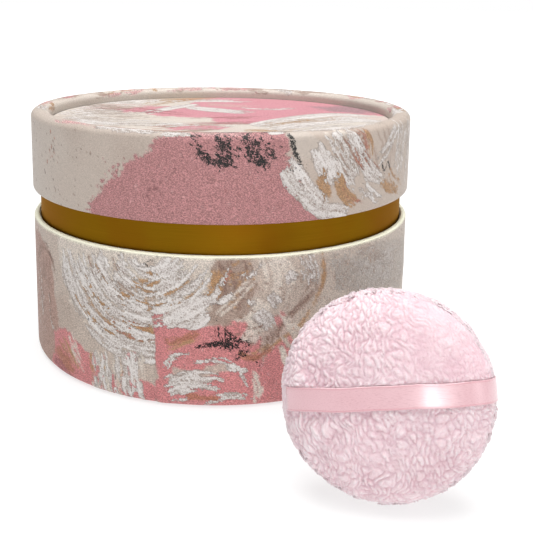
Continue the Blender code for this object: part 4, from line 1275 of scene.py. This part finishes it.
def plush_half(name, node, depth, front, seed, matrix, material):
    """A bowl of plush: a body in combed clumps, with short loose locks over it."""
    random = np.random.RandomState(seed)
    a, b = disc_points(PLUSH_GRID)
    share = np.clip(np.hypot(a, b), 0, 1)
    angle = np.arctan2(b, a)
    place, normal = dome(angle, share, depth)
    stretch = 1 + 0.35 * share**6
    x = place[..., 0] * stretch
    y = place[..., 1] * stretch
    height = pile_height(x, y, seed)
    lumps = value_noise(x / 3.6 + 50, y / 4.4 + 50, seed) - 0.5
    fuzz = value_noise(x / 0.33 + 70, y / 0.4 + 70, seed + 2) - 0.5
    pressed = front * smoothstep(RIBBON_WIDTH / 2 + 0.2, RIBBON_WIDTH / 2 - 0.6, ribbon_side(x, y))
    lift = (0.25 + 0.75 * (height - 0.8) + 0.5 * lumps + 0.12 * fuzz) * (1 - pressed) + 0.1 * pressed
    lift = lift - 0.12 * smoothstep(0.94, 1.0, share)
    body = (place + normal * lift[..., None]).reshape(-1, 3)
    # this value picks the plush colour: low in the grooves, as painted shade, high on the crowns, as painted
    # light, and lower where the pile is brushed flat
    body_pile_shade = np.clip(height * 0.8 + 0.25 * lumps + 0.15 * fuzz - 0.34 * sleekness(x, y), 0, 1).ravel()
    quads = grid_quads(*a.shape)

    spin = random.rand(PLUSH_LOCKS) * math.tau
    lock_share = 0.82 + 0.18 * random.rand(PLUSH_LOCKS)
    root, up = dome(spin, lock_share, depth)
    crowned = pile_height(root[:, 0], root[:, 1], seed) > 0.72
    kept = crowned & ((ribbon_side(root[:, 0], root[:, 1]) > RIBBON_WIDTH / 2 + 0.5) | (not front))
    root, up, lock_share = root[kept], up[kept], lock_share[kept]
    count = len(root)
    lean = 0.25 + 0.8 * (value_noise(root[:, 0] / 15 + 30, root[:, 1] / 15 + 30, seed) - 0.5)
    lean = lean + 0.7 * (random.rand(count) - 0.5)
    flow = np.stack([np.sin(lean), -np.cos(lean), np.zeros(count)], -1)
    flow = flow + 0.8 * lock_share[:, None] ** 4 * np.stack([up[:, 0], up[:, 1], np.zeros(count)], -1)
    flow[:, 2] -= 1.4 * smoothstep(0.93, 1.0, lock_share)
    flow = flow - up * (flow * up).sum(1)[:, None]
    flow = flow / np.maximum(np.linalg.norm(flow, axis=1), 0.3)[:, None]
    side = np.cross(up, flow)
    length = 0.7 + 0.6 * random.rand(count)
    width = 0.16 + 0.1 * random.rand(count)
    bend = (random.rand(count) - 0.5) * 0.7
    local = pile_height(root[:, 0], root[:, 1], seed)
    local_lumps = value_noise(root[:, 0] / 3.6 + 50, root[:, 1] / 4.4 + 50, seed) - 0.5
    base_lift = 0.2 + 0.75 * (local - 0.8) + 0.5 * local_lumps
    # each lock is darker at its root and paler at its tip, painted shade and light along it, with a random
    # spread
    tone = 0.25 * (random.rand(count) - 0.5)
    rings = []
    lock_shade_tones = []
    for along, thick, climb in ((0.0, 0.7, -0.25), (0.4, 1.0, 0.06), (0.78, 0.7, 0.1)):
        centre = root + flow * (along * length)[:, None] + side * (bend * along**2)[:, None]
        centre = centre + up * (base_lift + climb)[:, None]
        for turn in (0.0, math.tau / 3, 2 * math.tau / 3):
            across = math.cos(turn + math.pi / 2) * side + 0.7 * math.sin(turn + math.pi / 2) * up
            rings.append(centre + across * (thick * width)[:, None])
            lock_shade_tones.append(np.clip(0.5 + 0.3 * along + tone, 0, 1))
    rings.append(root + flow * length[:, None] + side * bend[:, None] + up * base_lift[:, None])
    lock_shade_tones.append(np.clip(0.8 + tone, 0, 1))
    locks = np.stack(rings, 1).reshape(-1, 3)
    start = np.arange(count)[:, None] * 10 + len(body)
    lock_quads = []
    for ring in (0, 3):
        for k in range(3):
            n = (k + 1) % 3
            lock_quads.append(start + np.array([[ring + k, ring + n, ring + 3 + n, ring + 3 + k]]))
    triangles = np.vstack([start + np.array([[6 + k, 6 + (k + 1) % 3, 9]]) for k in range(3)])
    points = np.vstack([body, locks]) * np.array([1.0, PUFF_SQUASH, 1.0])
    if not front:
        points = points * np.array([1.0, -1.0, -1.0])
    points = in_place(points, matrix)
    points[:, 2] = np.maximum(points[:, 2], 0.02)
    mesh = fast_mesh(name, points, np.vstack([quads] + lock_quads), triangles)
    set_values(mesh, "pile", np.concatenate([body_pile_shade, np.stack(lock_shade_tones, 1).ravel()]))
    item = add_piece(name, mesh, material, "puff", node)


def build_ribbon(matrix, material):
    """The satin strap across the front, with a thin stitched hem at each edge."""
    angles = np.linspace(math.pi * 0.985, math.pi * 0.015, 260)
    tuck = np.where(np.cos(angles) > 0, 0.3, 1.4)
    offset = 0.55 - tuck * smoothstep(0.86, 1.0, np.abs(np.cos(angles)))
    power = 2.0 / PUFF_FULLNESS
    x = np.sign(np.cos(angles)) * np.abs(np.cos(angles)) ** power * (PUFF_RADIUS + offset)
    z = np.abs(np.sin(angles)) ** power * (PUFF_FRONT + offset)
    line = even_profile(list(zip(x, z)), 0.3)
    normal = profile_normals(line)
    half = RIBBON_WIDTH / 2
    across = np.linspace(-1.0, 1.0, 33)
    hem = smoothstep(0.86, 0.9, np.abs(across)) * smoothstep(1.0, 0.97, np.abs(across))
    stitch = np.exp(-(((np.abs(across) - 0.87) / 0.02) ** 2))
    top = 0.2 - 0.05 * across**2 + 0.05 * hem - 0.05 * stitch
    bottom = -0.15 * np.ones(33)
    loop_y = np.concatenate([across, across[::-1]]) * (half - 0.2)
    loop_h = np.concatenate([top, bottom])
    loop_hem = np.concatenate([np.maximum(stitch, hem * 0.5), hem])
    wave = 0.05 * np.sin(line[:, 0] / 3.1) + 0.1 * np.exp(-(((line[:, 0] - 9.0) / 3.4) ** 2))
    lengths = lengths_along(line)
    edge_wave = 0.08 * np.sin(lengths / 4.3) + 0.05 * np.sin(lengths / 1.9 + 1.0)
    height = loop_h[None, :] + wave[:, None]
    px = line[:, None, 0] + normal[:, None, 0] * height
    pz = line[:, None, 1] + normal[:, None, 1] * height
    py = loop_y[None, :] * np.ones((len(line), 1)) + edge_wave[:, None] + RIBBON_RISE
    cos, sin = math.cos(RIBBON_TILT), math.sin(RIBBON_TILT)
    points = in_place(np.stack([px * cos - py * sin, px * sin + py * cos, pz], -1), matrix)
    mesh = grid_mesh("puff_ribbon_satin", points.transpose(1, 0, 2), True)
    set_values(mesh, "hem", np.repeat(loop_hem[:, None], len(line), 1))
    add_piece("puff_ribbon_satin", mesh, material, "puff", "puff_ribbon")


# ---------------------------------------------------------------- stage, light and camera


def build_stage():
    """A pale floor that grows brighter away from the jar, so that it meets the white background."""
    side = 12.0
    mesh = bpy.data.meshes.new("floor")
    corners = [(-side, -side), (side, -side), (side, side), (-side, side)]
    mesh.from_pydata([(x, y, -0.0001) for x, y in corners], [], [(0, 1, 2, 3)])
    floor = add_object("floor", mesh)
    look = Look("pale_floor", 0.9, 0.0, 0.1)
    distance = look.node("ShaderNodeVectorMath", {0: look.place}, operation="LENGTH").outputs["Value"]
    look.shader.inputs["Emission Color"].default_value = (1.0, 1.0, 1.0, 1.0)
    look.put(look.shader.inputs["Emission Strength"], look.ramp(distance, 250.0, 900.0, 0.7, 1.0))
    mesh.materials.append(look.finish(linear(152, 152, 152)))


def build_light():
    """Soft light from above and the front, and a small strip for the gleam on the strap."""
    world = bpy.data.worlds.new("studio")
    world.use_nodes = True
    bpy.context.scene.world = world
    tree = world.node_tree
    background = tree.nodes["Background"]
    background.inputs["Color"].default_value = (1.0, 1.0, 1.0, 1.0)
    seen = tree.nodes.new("ShaderNodeLightPath")
    level = tree.nodes.new("ShaderNodeMapRange")
    level.inputs["To Min"].default_value = 0.3
    level.inputs["To Max"].default_value = 1.0
    tree.links.new(seen.outputs["Is Camera Ray"], level.inputs["Value"])
    tree.links.new(level.outputs["Result"], background.inputs["Strength"])
    add_area("key", (0.25, -0.75, 1.1), (0.0, 0.0, 0.05), (0.9, 0.9), 2.6)
    add_area("top", (0.0, 0.1, 1.2), (0.0, 0.0, 0.05), (1.1, 1.1), 21.0)
    add_area("side", (0.95, -0.75, 0.35), (0.03, -0.1, 0.03), (0.22, 0.8), 1.3)
    add_area("strip", (0.215, -0.985, 0.17), (0.0536, -0.1133, 0.0274), (0.2, 0.22), 2.2)


def add_area(name, place, target, size, energy):
    """A rectangular light at a place, turned towards a target."""
    data = bpy.data.lights.new(name, "AREA")
    data.shape = "RECTANGLE"
    data.size, data.size_y = size
    data.energy = energy
    light = add_object(name, data)
    light.location = place
    light.rotation_euler = (Vector(target) - Vector(place)).to_track_quat("-Z", "Y").to_euler()


CAMERA_PITCH = math.radians(10.62)
CAMERA_ROLL = math.radians(0.96)
CAMERA_PLACE = [share * (LID_RADIUS * MM) for share in (0.240, -4.58, 1.816)]
CAMERA_LENS = 57.68105
CAMERA_SENSOR = 36.0


def build_camera():
    """The camera of the photograph, fitted to the outlines of the lid, the neck and the base."""
    pitch, roll = CAMERA_PITCH, CAMERA_ROLL
    ahead = Vector((0.0, math.cos(pitch), -math.sin(pitch)))
    right = Vector((1.0, 0.0, 0.0))
    up = Vector((0.0, math.sin(pitch), math.cos(pitch)))
    rolled_right = right * math.cos(roll) + up * math.sin(roll)
    rolled_up = up * math.cos(roll) - right * math.sin(roll)
    turn = Matrix((rolled_right, rolled_up, -ahead)).transposed().to_4x4()
    data = bpy.data.cameras.new("camera")
    data.sensor_width = CAMERA_SENSOR
    data.lens = CAMERA_LENS
    data.shift_y = -0.2
    data.clip_start = 0.01
    camera = add_object("camera", data)
    camera.matrix_world = Matrix.Translation(CAMERA_PLACE) @ turn
    bpy.context.scene.camera = camera
    bpy.context.scene.view_settings.view_transform = "Standard"


# ---------------------------------------------------------------- the whole


def carry_over(node, material):
    """Gives a CAD node that stays in view its finished material."""
    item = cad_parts[node]
    if not item.material_slots:
        item.data.materials.append(material)
    for place in item.material_slots:
        place.material = material


def main():
    """Sets the stage, gives the plain CAD pieces their looks and builds the pieces that replace the rest."""
    build_camera()
    build_light()
    build_stage()

    card = card_material()
    plain = plain_paper_material()
    tub = plastic_material("tub_plastic", linear(240, 239, 236))
    sieve = plastic_material("sifter_plastic", linear(246, 245, 243))
    for node in ("base_tube", "base_floor_board", "neck_tube", "lid_tube", "lid_top_board"):
        carry_over(node, card)
    for node in ("base_underside_paper", "base_floor_lining", "lid_lining_ring", "lid_lining_disc"):
        carry_over(node, plain)
    carry_over("powder_cup", tub)
    carry_over("sifter_plate", sieve)
    carry_over("puff_filling", stuffing_material())
    carry_over("puff_seam_thread", thread_material())

    lid_print = print_material("painted_lid_paper", 0.4, 0.25)
    top_print = print_material("painted_top_paper", 0.08, 0.5)
    build_lid(paint_lid_side(), paint_lid_top(), lid_print, top_print)
    # the last argument, 1.1, brightens the base's thick white: painted light, for the base gets less light
    # than the lid
    build_base(paint_base_side(), print_material("painted_base_paper", 0.36, 0.85, 0.3, 0.22, 1.1))
    build_neck_foil(gold_material())

    matrix = puff_matrix()
    plush = plush_material()
    plush_half("puff_front_pile", "puff_front_plush", PUFF_FRONT, True, 3, matrix, plush)
    plush_half("puff_back_pile", "puff_back_plush", PUFF_BACK, False, 8, matrix, plush)
    build_ribbon(matrix, satin_material())


main()
